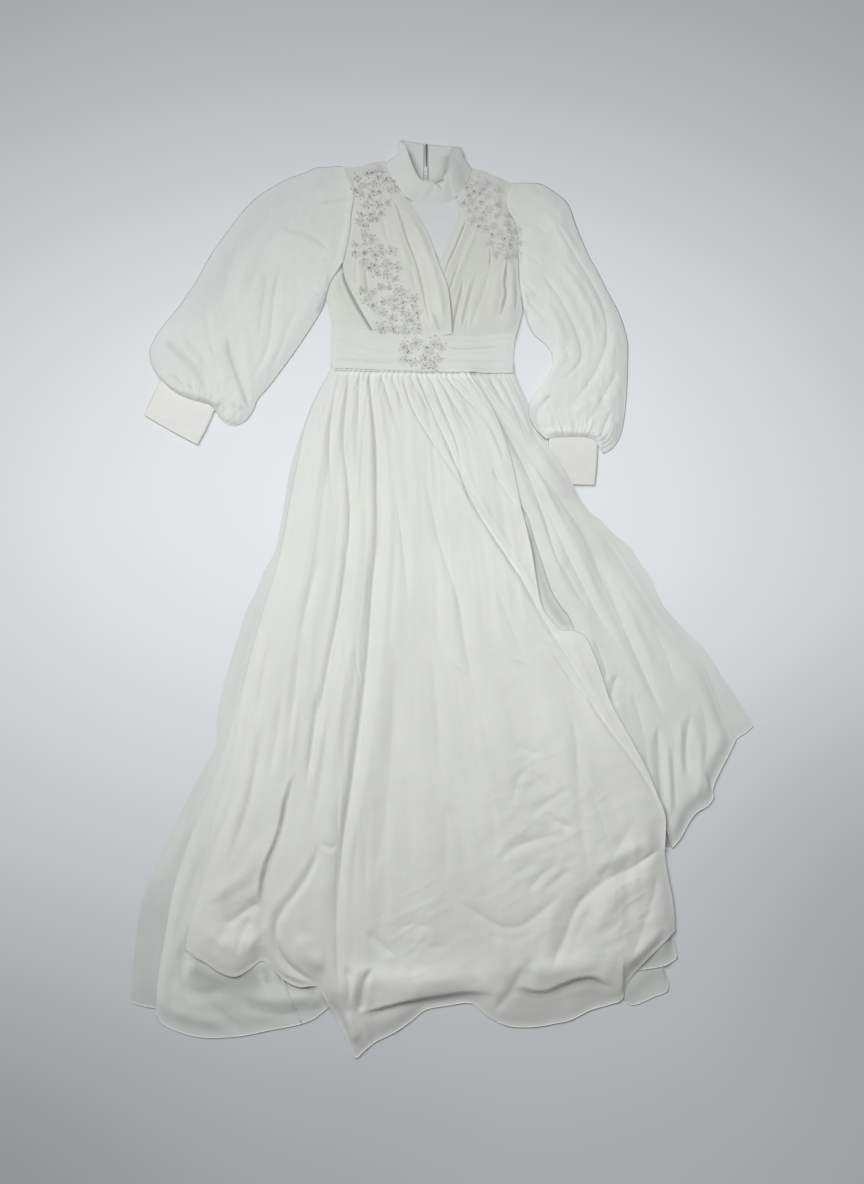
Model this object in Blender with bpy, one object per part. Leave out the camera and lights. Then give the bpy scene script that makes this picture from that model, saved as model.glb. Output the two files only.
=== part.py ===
"""Long dress laid flat, front up, collar towards +Y.

Every cloth piece is a thin wall. Flat pieces are slabs over a patch between
four edges; sleeves and cuffs are flattened tubes; the collar is an open band.
Lengths are in metres.
"""
import bpy
import math
from collections import namedtuple
from mathutils import Vector

# ---------------------------------------------------------------- sizes
WALL = 0.0012            # cloth wall
GAP = 0.0004             # clearance at seams, in plan
LIFT = 0.0003            # clearance between layers
SWELL = 0.0016           # extra wall on the crest of a fold
HOLLOW = 0.0032          # extra room under the crest of a fold
Z_LINING = WALL + LIFT                   # underside of the inner layer
Z_MAIN = Z_LINING + WALL + 2 * LIFT      # underside of the over panel in its valleys
Z_UNDER = Z_LINING + WALL + LIFT         # underside of the right front panel
UNDER_RISE = WALL + LIFT                 # the over panel rises by this where it lies on the right panel
Z_YOKE = WALL + LIFT
Z_WRAP_R = Z_YOKE + WALL + LIFT
Z_WRAP_L = Z_WRAP_R + WALL + 2 * LIFT
Z_BAND = WALL + LIFT
LACE = 0.0010
COLLAR_WALL = 0.0016
CUFF_HOLLOW = 0.0010
CUFF_TOP = 2 * WALL + CUFF_HOLLOW
CUFF_CLEAR = CUFF_TOP + 0.0009           # skirt lies this high over the tucked cuff

CB = -0.044              # centre back, where the zip runs
ZIP_HALF = 0.0020        # half width of the coil strip
ZIP_END = 0.160          # lower end of the zip
SLIDER_Y = 0.7105
PULL_LENGTH = 0.0180
PULL_WIDTH = 0.0066
HINGE = (CB, 0.7080, 0.0052)

# the tables below count from a point near the middle of the skirt; this
# moves the whole to the middle of its own footprint
CENTRE = (0.0275, 0.00125, 0.0)


def table(columns, *rows):
    row = namedtuple("Row", columns)
    return [row(*r) for r in rows]


# ---------------------------------------------------------------- outlines
# v runs down a panel, u runs across it from the viewer's left to right

BACK_LEFT_SIDE = table("v x y",
    (0.00, -0.205, 0.310), (0.10, -0.249, 0.202), (0.23, -0.274, 0.076),
    (0.33, -0.288, -0.023), (0.46, -0.340, -0.162), (0.64, -0.369, -0.336),
    (0.81, -0.445, -0.513), (0.90, -0.467, -0.598), (1.00, -0.468, -0.702))
BACK_LEFT_HEM = table("u x y",
    (0.00, -0.468, -0.702), (0.12, -0.431, -0.710), (0.45, -0.300, -0.708),
    (0.75, -0.150, -0.698), (1.00, -0.030, -0.690))
BACK_RIGHT_SIDE = table("v x y",
    (0.00, 0.107, 0.301), (0.10, 0.132, 0.239), (0.20, 0.156, 0.175),
    (0.31, 0.194, 0.111), (0.43, 0.230, 0.046), (0.52, 0.269, 0.006),
    (0.70, 0.340, -0.113), (0.84, 0.400, -0.183), (1.00, 0.468, -0.306))
BACK_RIGHT_HEM = table("u x y",
    (0.00, -0.030, -0.690), (0.14, 0.090, -0.700), (0.32, 0.250, -0.705),
    (0.40, 0.310, -0.686), (0.44, 0.306, -0.650), (0.58, 0.305, -0.525),
    (0.63, 0.331, -0.487), (0.77, 0.396, -0.414), (0.87, 0.411, -0.374),
    (0.92, 0.437, -0.328), (1.00, 0.468, -0.306))
LINING_LEFT = table("v x y",
    (0.00, -0.190, 0.307), (0.22, -0.262, 0.075), (0.45, -0.322, -0.165),
    (0.62, -0.352, -0.336), (0.79, -0.405, -0.520), (0.90, -0.420, -0.620),
    (1.00, -0.424, -0.722))
LINING_RIGHT = table("v x y",
    (0.00, 0.060, 0.299), (0.16, 0.076, 0.150), (0.27, 0.112, 0.050),
    (0.47, 0.200, -0.140), (0.70, 0.270, -0.350), (0.92, 0.312, -0.560),
    (1.00, 0.326, -0.643))
LINING_HEM = table("u x y",
    (0.00, -0.424, -0.722), (0.07, -0.365, -0.749), (0.15, -0.300, -0.746),
    (0.25, -0.222, -0.732), (0.32, -0.175, -0.700), (0.62, 0.050, -0.680),
    (0.92, 0.264, -0.659), (1.00, 0.326, -0.643))
MAIN_LEFT = table("v x y",
    (0.00, -0.203, 0.309), (0.11, -0.240, 0.202), (0.25, -0.268, 0.075),
    (0.35, -0.280, -0.020), (0.51, -0.325, -0.165), (0.70, -0.358, -0.335),
    (0.88, -0.415, -0.512), (1.00, -0.425, -0.630))
MAIN_RIGHT = table("v x y",
    (0.00, 0.008, 0.300), (0.12, 0.060, 0.192), (0.28, 0.115, 0.046),
    (0.45, 0.143, -0.118), (0.50, 0.171, -0.154), (0.55, 0.222, -0.196),
    (0.65, 0.250, -0.285), (0.78, 0.310, -0.414), (0.88, 0.318, -0.510),
    (1.00, 0.326, -0.605))
MAIN_HEM = table("u x y",
    (0.00, -0.425, -0.630), (0.06, -0.380, -0.642), (0.12, -0.335, -0.668),
    (0.20, -0.265, -0.650), (0.28, -0.200, -0.680), (0.36, -0.142, -0.776),
    (0.44, -0.085, -0.742), (0.52, -0.040, -0.712), (0.60, 0.023, -0.704),
    (0.70, 0.095, -0.735), (0.80, 0.170, -0.727), (0.90, 0.245, -0.690),
    (0.95, 0.280, -0.646), (1.00, 0.326, -0.605))
UNDER_LEFT = table("v x y",
    (0.00, -0.010, 0.300), (0.13, 0.045, 0.190), (0.34, 0.122, 0.040),
    (0.50, 0.160, -0.091), (0.58, 0.196, -0.150), (0.72, 0.226, -0.270),
    (0.88, 0.282, -0.410), (0.94, 0.302, -0.460), (1.00, 0.331, -0.487))
UNDER_RIGHT = table("v x y",
    (0.00, 0.105, 0.302), (0.10, 0.129, 0.235), (0.20, 0.152, 0.172),
    (0.40, 0.213, 0.050), (0.50, 0.262, -0.006), (0.68, 0.330, -0.115),
    (0.82, 0.388, -0.195), (0.94, 0.420, -0.285), (1.00, 0.437, -0.328))
UNDER_HEM = table("u x y",
    (0.00, 0.331, -0.487), (0.30, 0.371, -0.436), (0.55, 0.396, -0.414),
    (0.75, 0.411, -0.374), (1.00, 0.437, -0.328))

# one row for each fold line: where it leaves the waist, where it meets the
# hem, and its height from 0 (valley) to 1 (crest)
MAIN_FOLDS = table("top hem height",
    (0.00, 0.00, 0.15), (0.07, 0.10, 0.55), (0.14, 0.17, 0.05),
    (0.22, 0.25, 1.00), (0.30, 0.31, 0.00), (0.35, 0.36, 0.80),
    (0.40, 0.42, 0.05), (0.48, 0.48, 0.60), (0.56, 0.56, 0.05),
    (0.63, 0.65, 0.75), (0.70, 0.73, 0.00), (0.76, 0.80, 0.60),
    (0.82, 0.86, 0.05), (0.91, 0.93, 0.50), (1.00, 1.00, 0.10))
UNDER_FOLDS = table("top hem height",
    (0.00, 0.00, 0.00), (0.30, 0.15, 0.00), (0.42, 0.32, 0.70),
    (0.52, 0.45, 0.05), (0.64, 0.60, 0.80), (0.76, 0.74, 0.05),
    (0.88, 0.87, 0.50), (1.00, 1.00, 0.05))
SKIRT_SWELL = table("v part", (0.0, 0.35), (0.06, 0.85), (0.20, 1.0),
    (0.60, 0.85), (0.85, 0.60), (1.0, 0.25))

# ---------------------------------------------------------------- bodice
SHOULDER_L = (-0.193, 0.714)
UNDERARM_L = (-0.190, 0.502)
SHOULDER_R = (0.115, 0.680)
UNDERARM_R = (0.126, 0.440)
ARMHOLE_BOW = 0.010

# collar band, one row for each section round the neck from centre back by
# the viewer's left, the front and the right to centre back again:
# seam edge x, y, z and top edge x, y, z of the band's outer face
COLLAR = table("sx sy sz tx ty tz",
    (-0.0475, 0.7095, 0.0000, -0.0490, 0.7690, 0.0000),
    (-0.0760, 0.7170, 0.0000, -0.0720, 0.7730, 0.0000),
    (-0.1010, 0.7280, 0.0005, -0.0900, 0.7730, 0.0008),
    (-0.1170, 0.7320, 0.0045, -0.0990, 0.7690, 0.0060),
    (-0.1170, 0.7180, 0.0075, -0.0950, 0.7600, 0.0125),
    (-0.1060, 0.6890, 0.0075, -0.0830, 0.7380, 0.0155),
    (-0.0920, 0.6620, 0.0065, -0.0710, 0.7080, 0.0155),
    (-0.0660, 0.6440, 0.0055, -0.0550, 0.6830, 0.0150),
    (-0.0360, 0.6380, 0.0050, -0.0330, 0.6760, 0.0145),
    (-0.0080, 0.6380, 0.0055, -0.0120, 0.6780, 0.0150),
    (0.0150, 0.6520, 0.0065, -0.0030, 0.6960, 0.0155),
    (0.0300, 0.6800, 0.0075, 0.0030, 0.7240, 0.0155),
    (0.0410, 0.7030, 0.0075, 0.0100, 0.7490, 0.0125),
    (0.0420, 0.7160, 0.0045, 0.0230, 0.7570, 0.0060),
    (0.0270, 0.7170, 0.0005, 0.0130, 0.7630, 0.0008),
    (-0.0060, 0.7110, 0.0000, -0.0120, 0.7660, 0.0000),
    (-0.0405, 0.7095, 0.0000, -0.0375, 0.7680, 0.0000))
NECK_L = (-0.1215, 0.7330)
NECK_R = (0.0440, 0.7160)

WRAP_L_EDGE = table("v x y",
    (0.00, -0.1215, 0.7320), (0.10, -0.1150, 0.7030), (0.22, -0.0990, 0.6620),
    (0.36, -0.0680, 0.6170), (0.50, -0.0420, 0.5720), (0.64, -0.0220, 0.5150),
    (0.80, -0.0040, 0.4600), (1.00, 0.0030, 0.3720))
WRAP_L_SIDE = table("v x y",
    (0.00, -0.1900, 0.5020), (0.35, -0.1780, 0.4580), (0.70, -0.1560, 0.4140),
    (1.00, -0.1330, 0.3780))
WRAP_R_EDGE = table("v x y",
    (0.00, 0.0450, 0.7150), (0.10, 0.0400, 0.6940), (0.22, 0.0260, 0.6560),
    (0.36, 0.0120, 0.6090), (0.55, -0.0230, 0.5270), (0.80, -0.0500, 0.4500),
    (1.00, -0.0750, 0.3720))
WRAP_R_SIDE = table("v x y",
    (0.00, 0.1240, 0.4980), (0.35, 0.1080, 0.4500), (1.00, 0.0960, 0.3740))
WRAP_L_FOLDS = table("top hem height",
    (0.00, 0.00, 0.10), (0.25, 0.22, 0.40), (0.50, 0.50, 0.15),
    (0.72, 0.72, 0.80), (0.84, 0.84, 0.05), (0.93, 0.93, 0.70),
    (1.00, 1.00, 0.30))
WRAP_R_FOLDS = table("top hem height",
    (0.00, 0.00, 0.00), (0.22, 0.52, 0.55), (0.38, 0.62, 0.05),
    (0.52, 0.72, 0.80), (0.66, 0.80, 0.05), (0.84, 0.90, 0.85),
    (1.00, 1.00, 0.20))
SIDE_L_OUTER = table("v x y",
    (0.00, -0.1970, 0.4910), (0.30, -0.2120, 0.4620), (0.50, -0.2160, 0.4430),
    (1.00, -0.2060, 0.3900))
SIDE_R_OUTER = table("v x y",
    (0.00, 0.1250, 0.4360), (0.40, 0.1250, 0.4180), (1.00, 0.1140, 0.3800))

# lace: for each row of the carrying panel's grid that it covers, first and
# last grid column, counted in the panel's own cells
LACE_L_ROWS = table("upto first last", (2, 0, 11), (4, 0, 4), (5, 1, 3),
    (7, 0, 4), (9, 1, 7), (12, 2, 8))
LACE_R_ROWS = table("upto first last", (2, 1, 12), (3, 4, 12), (4, 5, 12),
    (5, 7, 12))

# ---------------------------------------------------------------- sleeves
# one row for each section: its outer end, its inner end, and how far its
# middle stays back so that it clears the cuff's corner
SLEEVE_L = table("s ox oy ix iy rise",
    (0.00, -0.1930, 0.7140, -0.1900, 0.5020, 0), (0.08, -0.2470, 0.7170, -0.2060, 0.4960, 0),
    (0.17, -0.2940, 0.6950, -0.2170, 0.4720, 0), (0.28, -0.3480, 0.6590, -0.2230, 0.4440, 0),
    (0.39, -0.3890, 0.6060, -0.2400, 0.3980, 0), (0.50, -0.4250, 0.5430, -0.2630, 0.3550, 0),
    (0.60, -0.4510, 0.4820, -0.2870, 0.3130, 0), (0.70, -0.4810, 0.4260, -0.3120, 0.2780, 0),
    (0.80, -0.5130, 0.3770, -0.3330, 0.2450, 0), (0.89, -0.5230, 0.3280, -0.3450, 0.2120, 0),
    (0.96, -0.5120, 0.3000, -0.3720, 0.2000, 0.021), (0.98, -0.5055, 0.2945, -0.3865, 0.2245, 0.013),
    (1.00, -0.4990, 0.2885, -0.4000, 0.2385, 0))
SLEEVE_R = table("s ox oy ix iy rise",
    (0.00, 0.1150, 0.6800, 0.1260, 0.4400, 0), (0.08, 0.1660, 0.6830, 0.1330, 0.4180, 0),
    (0.17, 0.2160, 0.6390, 0.1400, 0.3990, 0), (0.28, 0.2380, 0.5640, 0.1510, 0.3780, 0),
    (0.39, 0.2640, 0.4980, 0.1640, 0.3600, 0), (0.50, 0.2900, 0.4360, 0.1750, 0.3380, 0),
    (0.60, 0.3060, 0.3830, 0.1770, 0.3150, 0), (0.70, 0.3090, 0.3240, 0.1680, 0.2920, 0),
    (0.80, 0.3040, 0.2650, 0.1600, 0.2660, 0), (0.89, 0.2950, 0.2110, 0.1560, 0.2360, 0),
    (0.96, 0.2760, 0.1760, 0.1560, 0.2060, 0), (1.00, 0.2490, 0.1790, 0.1660, 0.1830, 0))
SLEEVE_FOLDS = table("cap cuff height",
    (0.00, 0.00, 0.10), (0.14, 0.12, 0.70), (0.28, 0.28, 0.30),
    (0.46, 0.44, 1.00), (0.62, 0.62, 0.25), (0.80, 0.80, 0.85),
    (1.00, 1.00, 0.10))
SLEEVE_SWELL = table("v part", (0.0, 0.40), (0.10, 0.70), (0.45, 0.65),
    (0.80, 1.00), (0.95, 0.80), (1.0, 0.15))
# cuffs: the four corners, upper and lower edge
CUFF_L = table("x y", (-0.4995, 0.2875), (-0.4015, 0.2350), (-0.4280, 0.1640), (-0.5230, 0.2190))
CUFF_R = table("x y", (0.1660, 0.1822), (0.2490, 0.1782), (0.2400, 0.0920), (0.1580, 0.0960))


# ---------------------------------------------------------------- helpers
def rest(rows, t, *names):
    """Values of the named columns where the first column equals t, smooth between rows."""
    key = rows[0]._fields[0]
    keys = [getattr(r, key) for r in rows]
    t = min(max(t, keys[0]), keys[-1])
    k = max(i for i in range(len(keys) - 1) if keys[i] <= t + 1e-9)
    a, b = keys[k], keys[k + 1]
    f = (t - a) / (b - a)
    out = []
    for n in names:
        val = [getattr(r, n) for r in rows]
        m0 = (val[k + 1] - val[k - 1]) / (keys[k + 1] - keys[k - 1]) if k else (val[1] - val[0]) / (keys[1] - keys[0])
        m1 = (val[k + 2] - val[k]) / (keys[k + 2] - keys[k]) if k + 2 < len(rows) else (val[k + 1] - val[k]) / (b - a)
        h = b - a
        out.append((2 * f**3 - 3 * f**2 + 1) * val[k] + (f**3 - 2 * f**2 + f) * h * m0
                   + (-2 * f**3 + 3 * f**2) * val[k + 1] + (f**3 - f**2) * h * m1)
    return out if len(out) > 1 else out[0]


def line(rows):
    return lambda t: tuple(rest(rows, t, "x", "y"))


def smooth(t):
    t = min(max(t, 0.0), 1.0)
    return t * t * (3 - 2 * t)


def band_top(x):
    return 0.371 + 0.50 * (x + 0.03) ** 2


def band_bottom(x):
    return 0.300 + 0.25 * (x + 0.03) ** 2 - 0.025 * (x + 0.03)


def armhole(side, f):
    """Point on the armhole line, f from the shoulder tip to the underarm."""
    a, b, s = (SHOULDER_L, UNDERARM_L, 1) if side == "left" else (SHOULDER_R, UNDERARM_R, -1)
    return (a[0] + (b[0] - a[0]) * f + s * ARMHOLE_BOW * 4 * f * (1 - f), a[1] + (b[1] - a[1]) * f)


def fold_lines(rows):
    """Fold lines with one more line halfway between each two."""
    a, b, c = rows[0]._fields
    out = []
    for p, q in zip(rows, rows[1:]):
        out.append((p[0], p[1], p[2]))
        out.append(((p[0] + q[0]) / 2, (p[1] + q[1]) / 2, (p[2] + q[2]) / 2))
    out.append(tuple(rows[-1]))
    return out


def coons(left, right, top, bottom):
    """Patch between four edges; left and right run down, top and bottom run across."""
    def at(u, v):
        L, R, T, B = left(v), right(v), top(u), bottom(u)
        tl, tr, bl, br = top(0), top(1), bottom(0), bottom(1)
        return tuple((1 - u) * L[k] + u * R[k] + (1 - v) * T[k] + v * B[k]
                     - ((1 - u) * (1 - v) * tl[k] + u * (1 - v) * tr[k]
                        + (1 - u) * v * bl[k] + u * v * br[k]) for k in (0, 1))
    return at


def material(name, colour, rough, metal=0.0):
    m = bpy.data.materials.new(name)
    m.use_nodes = True
    p = m.node_tree.nodes["Principled BSDF"]
    p.inputs["Base Color"].default_value = (*colour, 1.0)
    p.inputs["Roughness"].default_value = rough
    p.inputs["Metallic"].default_value = metal
    m.diffuse_color = (*colour, 1.0)
    return m


def finish(name, verts, faces, mat, location=(0, 0, 0)):
    me = bpy.data.meshes.new(name)
    me.from_pydata(verts, [], faces)
    me.update()
    ob = bpy.data.objects.new(name, me)
    ob.location = Vector(location) + Vector(CENTRE)
    bpy.context.scene.collection.objects.link(ob)
    me.materials.append(mat)
    return ob


def slab(name, pts, low, high, mat, cells=None):
    """Closed wall over a grid of plan points. cells picks the grid cells it covers."""
    rows, cols = len(pts) - 1, len(pts[0]) - 1
    if cells is None:
        cells = {(i, j) for i in range(rows) for j in range(cols)}
    used = sorted({(i + a, j + b) for i, j in cells for a in (0, 1) for b in (0, 1)})
    bot = {p: k for k, p in enumerate(used)}
    top = {p: k + len(used) for k, p in enumerate(used)}
    verts = [(*pts[i][j], low[i][j]) for i, j in used] + [(*pts[i][j], high[i][j]) for i, j in used]
    faces, edges = [], {}
    for i, j in sorted(cells):
        # going down a row lowers y, going along a column raises x
        a, b, c, d = (i, j), (i + 1, j), (i + 1, j + 1), (i, j + 1)
        faces += [(top[a], top[b], top[c]), (top[a], top[c], top[d]),
                  (bot[a], bot[c], bot[b]), (bot[a], bot[d], bot[c])]
        for e in ((a, b), (b, c), (c, d), (d, a)):
            if (e[1], e[0]) in edges:
                del edges[(e[1], e[0])]
            else:
                edges[e] = True
    for a, b in edges:
        faces += [(top[a], bot[a], bot[b]), (top[a], bot[b], top[b])]
    return finish(name, verts, faces, mat)


def panel(name, at, folds, vs, base, mat, swell=None, rise=None, flat=None, keep=None):
    """A draped front panel: its columns are fold lines, its rows are at vs."""
    lines = fold_lines(folds)
    pts, low, high = [], [], []
    for v in vs:
        p, lo, hi = [], [], []
        part = rest(swell, v, "part") if swell else 1.0
        for top, hem, h in lines:
            u = top + (hem - top) * v
            xy = at(u, v)
            lift = h * part * (flat(u, v) if flat else 1.0)
            z = base + (rise(u, v, *xy) if rise else 0.0) + HOLLOW * lift
            p.append(xy)
            lo.append(z)
            hi.append(z + WALL + SWELL * lift)
        pts.append(p)
        low.append(lo)
        high.append(hi)
    ob = slab(name, pts, low, high, mat, keep)
    return pts, low, high


def flat_slab(name, at, us, vs, base, mat, rise=None):
    pts = [[at(u, v) for u in us] for v in vs]
    low = [[base + (rise(*p) if rise else 0.0) for p in row] for row in pts]
    high = [[z + WALL for z in row] for row in low]
    return slab(name, pts, low, high, mat)


def steps(a, b, n):
    return [a + (b - a) * k / n for k in range(n + 1)]


def loft(name, outer, inner, mat, closed=True):
    """Wall between an outer and an inner set of rings, open at both ends."""
    n, m = len(outer), len(outer[0])
    verts = [p for r in outer for p in r] + [p for r in inner for p in r]
    o = lambda i, j: i * m + j % m
    q = lambda i, j: n * m + i * m + j % m
    faces = []
    for i in range(n - 1):
        for j in range(m):
            a, b, c, d = o(i, j), o(i, j + 1), o(i + 1, j + 1), o(i + 1, j)
            faces += [(a, b, c), (a, c, d)]
            a, b, c, d = q(i, j), q(i, j + 1), q(i + 1, j + 1), q(i + 1, j)
            faces += [(a, c, b), (a, d, c)]
    for i, s in ((0, 1), (n - 1, -1)):
        for j in range(m):
            a, b, c, d = o(i, j), q(i, j), q(i, j + 1), o(i, j + 1)
            faces += [(a, b, c), (a, c, d)] if s > 0 else [(a, c, b), (a, d, c)]
    ob = finish(name, verts, faces, mat)
    outward(ob)
    return ob


def outward(ob):
    import bmesh
    bm = bmesh.new()
    bm.from_mesh(ob.data)
    bmesh.ops.recalc_face_normals(bm, faces=bm.faces[:])
    bm.to_mesh(ob.data)
    bm.free()


# ---------------------------------------------------------------- build
def clear():
    for ob in list(bpy.data.objects):
        bpy.data.objects.remove(ob, do_unlink=True)


def over_cuff(x, y, grow=0.0):
    """The skirt's edge lies on the tucked corner of the right cuff."""
    xs = [c.x for c in CUFF_R]
    ys = [c.y for c in CUFF_R]
    dx = max(min(xs) - x, 0.0, x - max(xs))
    dy = max(min(ys) - y, 0.0, y - max(ys))
    d = math.hypot(dx, dy)
    return CUFF_CLEAR * smooth((0.046 + grow - d) / 0.024)


def skirt(cloth):
    vs_back = [0.0, 0.05, 0.10, 0.14, 0.18, 0.22, 0.26, 0.30, 0.36, 0.45, 0.58, 0.72, 0.86, 1.0]
    zip_v = 0.14

    def back_seam(side):
        def at(v):
            y = band_bottom(CB) - GAP + (-0.690 - band_bottom(CB)) * v
            if v <= zip_v + 1e-6:
                return (CB + side * (ZIP_HALF + GAP), y)
            x = CB + (-0.030 - CB) * (v - zip_v) / (1 - zip_v)
            return (x + side * GAP / 2, y)
        return at

    def waist(x0, x1, low=GAP):
        return lambda u: (x0 + (x1 - x0) * u, band_bottom(x0 + (x1 - x0) * u) - low)

    left = line(BACK_LEFT_SIDE)
    seam = back_seam(-1)
    hem = line(BACK_LEFT_HEM)
    flat_slab("skirt_back_left",
              coons(lambda v: left(v) if v > 0 else (-0.205, band_bottom(-0.205) - GAP), seam,
                    waist(-0.205, CB - ZIP_HALF - GAP),
                    lambda u: hem(u) if u < 1 else seam(1)),
              [0, 0.16, 0.34, 0.55, 0.78, 1.0], vs_back, 0.0, cloth["outer"])

    right = line(BACK_RIGHT_SIDE)
    seam_r = back_seam(1)
    hem_r = line(BACK_RIGHT_HEM)
    flat_slab("skirt_back_right",
              coons(seam_r, lambda v: right(v) if v > 0 else (0.107, band_bottom(0.107) - GAP),
                    waist(CB + ZIP_HALF + GAP, 0.107),
                    lambda u: hem_r(u) if u > 0 else seam_r(1)),
              [0, 0.16, 0.32, 0.40, 0.44, 0.51, 0.58, 0.63, 0.70, 0.77, 0.87, 0.92, 1.0],
              vs_back, 0.0, cloth["outer"], over_cuff)

    flat_slab("skirt_lining",
              coons(line(LINING_LEFT), line(LINING_RIGHT),
                    lambda u: (-0.190 + 0.250 * u, band_bottom(-0.190 + 0.250 * u) - GAP) if 0 < u < 1
                    else line(LINING_LEFT if u == 0 else LINING_RIGHT)(0),
                    line(LINING_HEM)),
              [0, 0.07, 0.15, 0.25, 0.32, 0.47, 0.62, 0.77, 0.92, 1.0],
              steps(0, 1, 7), Z_LINING, cloth["lining"])

    under_top = lambda u: (-0.010 + 0.115 * u, band_bottom(-0.010 + 0.115 * u) - GAP)
    ul, ur, uh = line(UNDER_LEFT), line(UNDER_RIGHT), line(UNDER_HEM)
    panel("skirt_under",
          coons(lambda v: ul(v) if v > 0 else under_top(0), lambda v: ur(v) if v > 0 else under_top(1),
                under_top, uh),
          UNDER_FOLDS, [0.0, 0.06, 0.12, 0.18, 0.25, 0.33, 0.42, 0.50, 0.58, 0.72, 0.86, 1.0],
          Z_UNDER, cloth["outer"], SKIRT_SWELL, lambda u, v, x, y: over_cuff(x, y, 0.010),
          lambda u, v: smooth((u - 0.22 - 0.10 * v) / 0.10))

    main_top = lambda u: (-0.203 + 0.211 * u, band_bottom(-0.203 + 0.211 * u) - GAP)
    ml, mr, mh = line(MAIN_LEFT), line(MAIN_RIGHT), line(MAIN_HEM)
    panel("skirt_main",
          coons(lambda v: ml(v) if v > 0 else main_top(0), lambda v: mr(v) if v > 0 else main_top(1),
                main_top, mh),
          MAIN_FOLDS, [0.0, 0.05, 0.12, 0.20, 0.28, 0.37, 0.45, 0.50, 0.55, 0.65, 0.78, 0.88, 1.0],
          Z_MAIN, cloth["outer"], SKIRT_SWELL,
          lambda u, v, x, y: (UNDER_RISE + LIFT) * smooth((u - 0.70) / 0.14) * smooth((1.02 - v) / 0.10))


def bodice(cloth):
    arm_rows = 7
    arm_f = steps(0, 1, arm_rows)

    # back halves, from the shoulder and neck to the waistband
    def back_half(side):
        s = -1 if side == "left" else 1
        neck = NECK_L if side == "left" else NECK_R
        low_x = -0.206 if side == "left" else 0.113
        out = SIDE_L_OUTER if side == "left" else SIDE_R_OUTER
        tip = armhole(side, 0)
        under = armhole(side, 1)
        rows = []
        for f in arm_f:
            rows.append(armhole(side, f))
        for v in (0.3, 0.6, 1.0):
            x, y = rest(out, v, "x", "y")
            rows.append((x - s * 0.004, y) if v < 1 else (low_x - s * 0.001, band_top(low_x) + GAP))
        n = len(rows)
        pts = []
        for k, (x, y) in enumerate(rows):
            v = k / (n - 1)
            mid = CB + s * (ZIP_HALF + GAP)
            top_y = 0.7078
            my = top_y + (band_top(mid) + GAP - top_y) * v
            # the neck point lies between the shoulder tip and centre back
            nx = neck[0] + (CB + s * 0.055 - neck[0]) * min(v * 1.6, 1.0)
            ny = (neck[1] - 0.002) + (band_top(nx) + GAP - neck[1] + 0.002) * v
            q1 = ((x + nx) / 2, (y + ny) / 2)
            inner = (mid + (nx - mid) * 0.5, my + (ny - my) * 0.5 - (0.010 if k == 0 else 0.0))
            inner = (inner[0], inner[1] + (0.0045 if k == 0 else 0.0))
            row = [(x, y), q1, (nx, ny), inner, (mid, my)]
            pts.append(row if s < 0 else row[::-1])
        low = [[0.0] * 5 for _ in pts]
        high = [[WALL] * 5 for _ in pts]
        slab("bodice_back_" + side, pts, low, high, cloth["outer"])

    back_half("left")
    back_half("right")

    # side panels, under the wraps
    def side_panel(side):
        s = -1 if side == "left" else 1
        out = SIDE_L_OUTER if side == "left" else SIDE_R_OUTER
        inner_rows = WRAP_L_SIDE if side == "left" else WRAP_R_SIDE
        low_x = -0.206 if side == "left" else 0.113
        pts = []
        for v in steps(0, 1, 5):
            x, y = rest(out, v, "x", "y")
            if v == 1:
                x, y = low_x, band_top(low_x) + GAP
            wx, wy = rest(inner_rows, v, "x", "y")
            if side == "right":
                wx, wy = 0.100 - 0.012 * v, y - 0.001 + 0.010 * (1 - v)
            ix = wx - s * 0.022
            iy = wy if v < 1 else band_top(ix) + GAP
            mx = (x + ix) / 2
            my = (y + iy) / 2 if v < 1 else band_top(mx) + GAP
            row = [(x, y), (mx, my), (ix, iy)]
            pts.append(row if s < 0 else row[::-1])
        low = [[Z_YOKE] * 3 for _ in pts]
        high = [[Z_YOKE + WALL] * 3 for _ in pts]
        slab("bodice_side_" + side, pts, low, high, cloth["outer"])

    side_panel("left")
    side_panel("right")

    # yoke inset in the V
    top_l, top_r = (-0.086, 0.6505), (0.012, 0.6435)

    def yoke_top(u):
        x = top_l[0] + (top_r[0] - top_l[0]) * u
        return (x, 0.6350 - 0.0006 + 15.0 * max(abs(x + 0.024) - 0.018, 0.0) ** 2 * 0.33)

    yoke = coons(lambda v: (yoke_top(0)[0] + (-0.034 - yoke_top(0)[0]) * v, yoke_top(0)[1] + (0.500 - yoke_top(0)[1]) * v),
                 lambda v: (yoke_top(1)[0] + (-0.006 - yoke_top(1)[0]) * v, yoke_top(1)[1] + (0.500 - yoke_top(1)[1]) * v),
                 yoke_top, lambda u: (-0.034 + 0.028 * u, 0.500))
    flat_slab("yoke_inset", yoke, steps(0, 1, 6), steps(0, 1, 4), Z_YOKE, cloth["outer"])

    # wraps: rows follow the armhole, then the side line down to the waistband
    def wrap_edge(side, f_arm, rows_after):
        side_rows = WRAP_L_SIDE if side == "left" else WRAP_R_SIDE
        f_end = 1.0 if side == "left" else 0.76
        pts = [armhole(side, f * f_end) for f in f_arm]
        end = pts[-1]
        first = rest(side_rows, 0, "x", "y")
        for v in rows_after:
            x, y = rest(side_rows, v, "x", "y")
            k = smooth(v / 0.35)
            pts.append((x + (end[0] - first[0]) * (1 - k), y + (end[1] - first[1]) * (1 - k)))
        return pts

    after = (0.20, 0.40, 0.60, 0.80, 1.0)
    total = arm_rows + len(after)

    def rows_of(side):
        pts = wrap_edge(side, arm_f, after)
        out = []
        length = [0.0]
        for a, b in zip(pts, pts[1:]):
            length.append(length[-1] + math.dist(a, b))
        return pts, [l / length[-1] for l in length]

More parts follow.
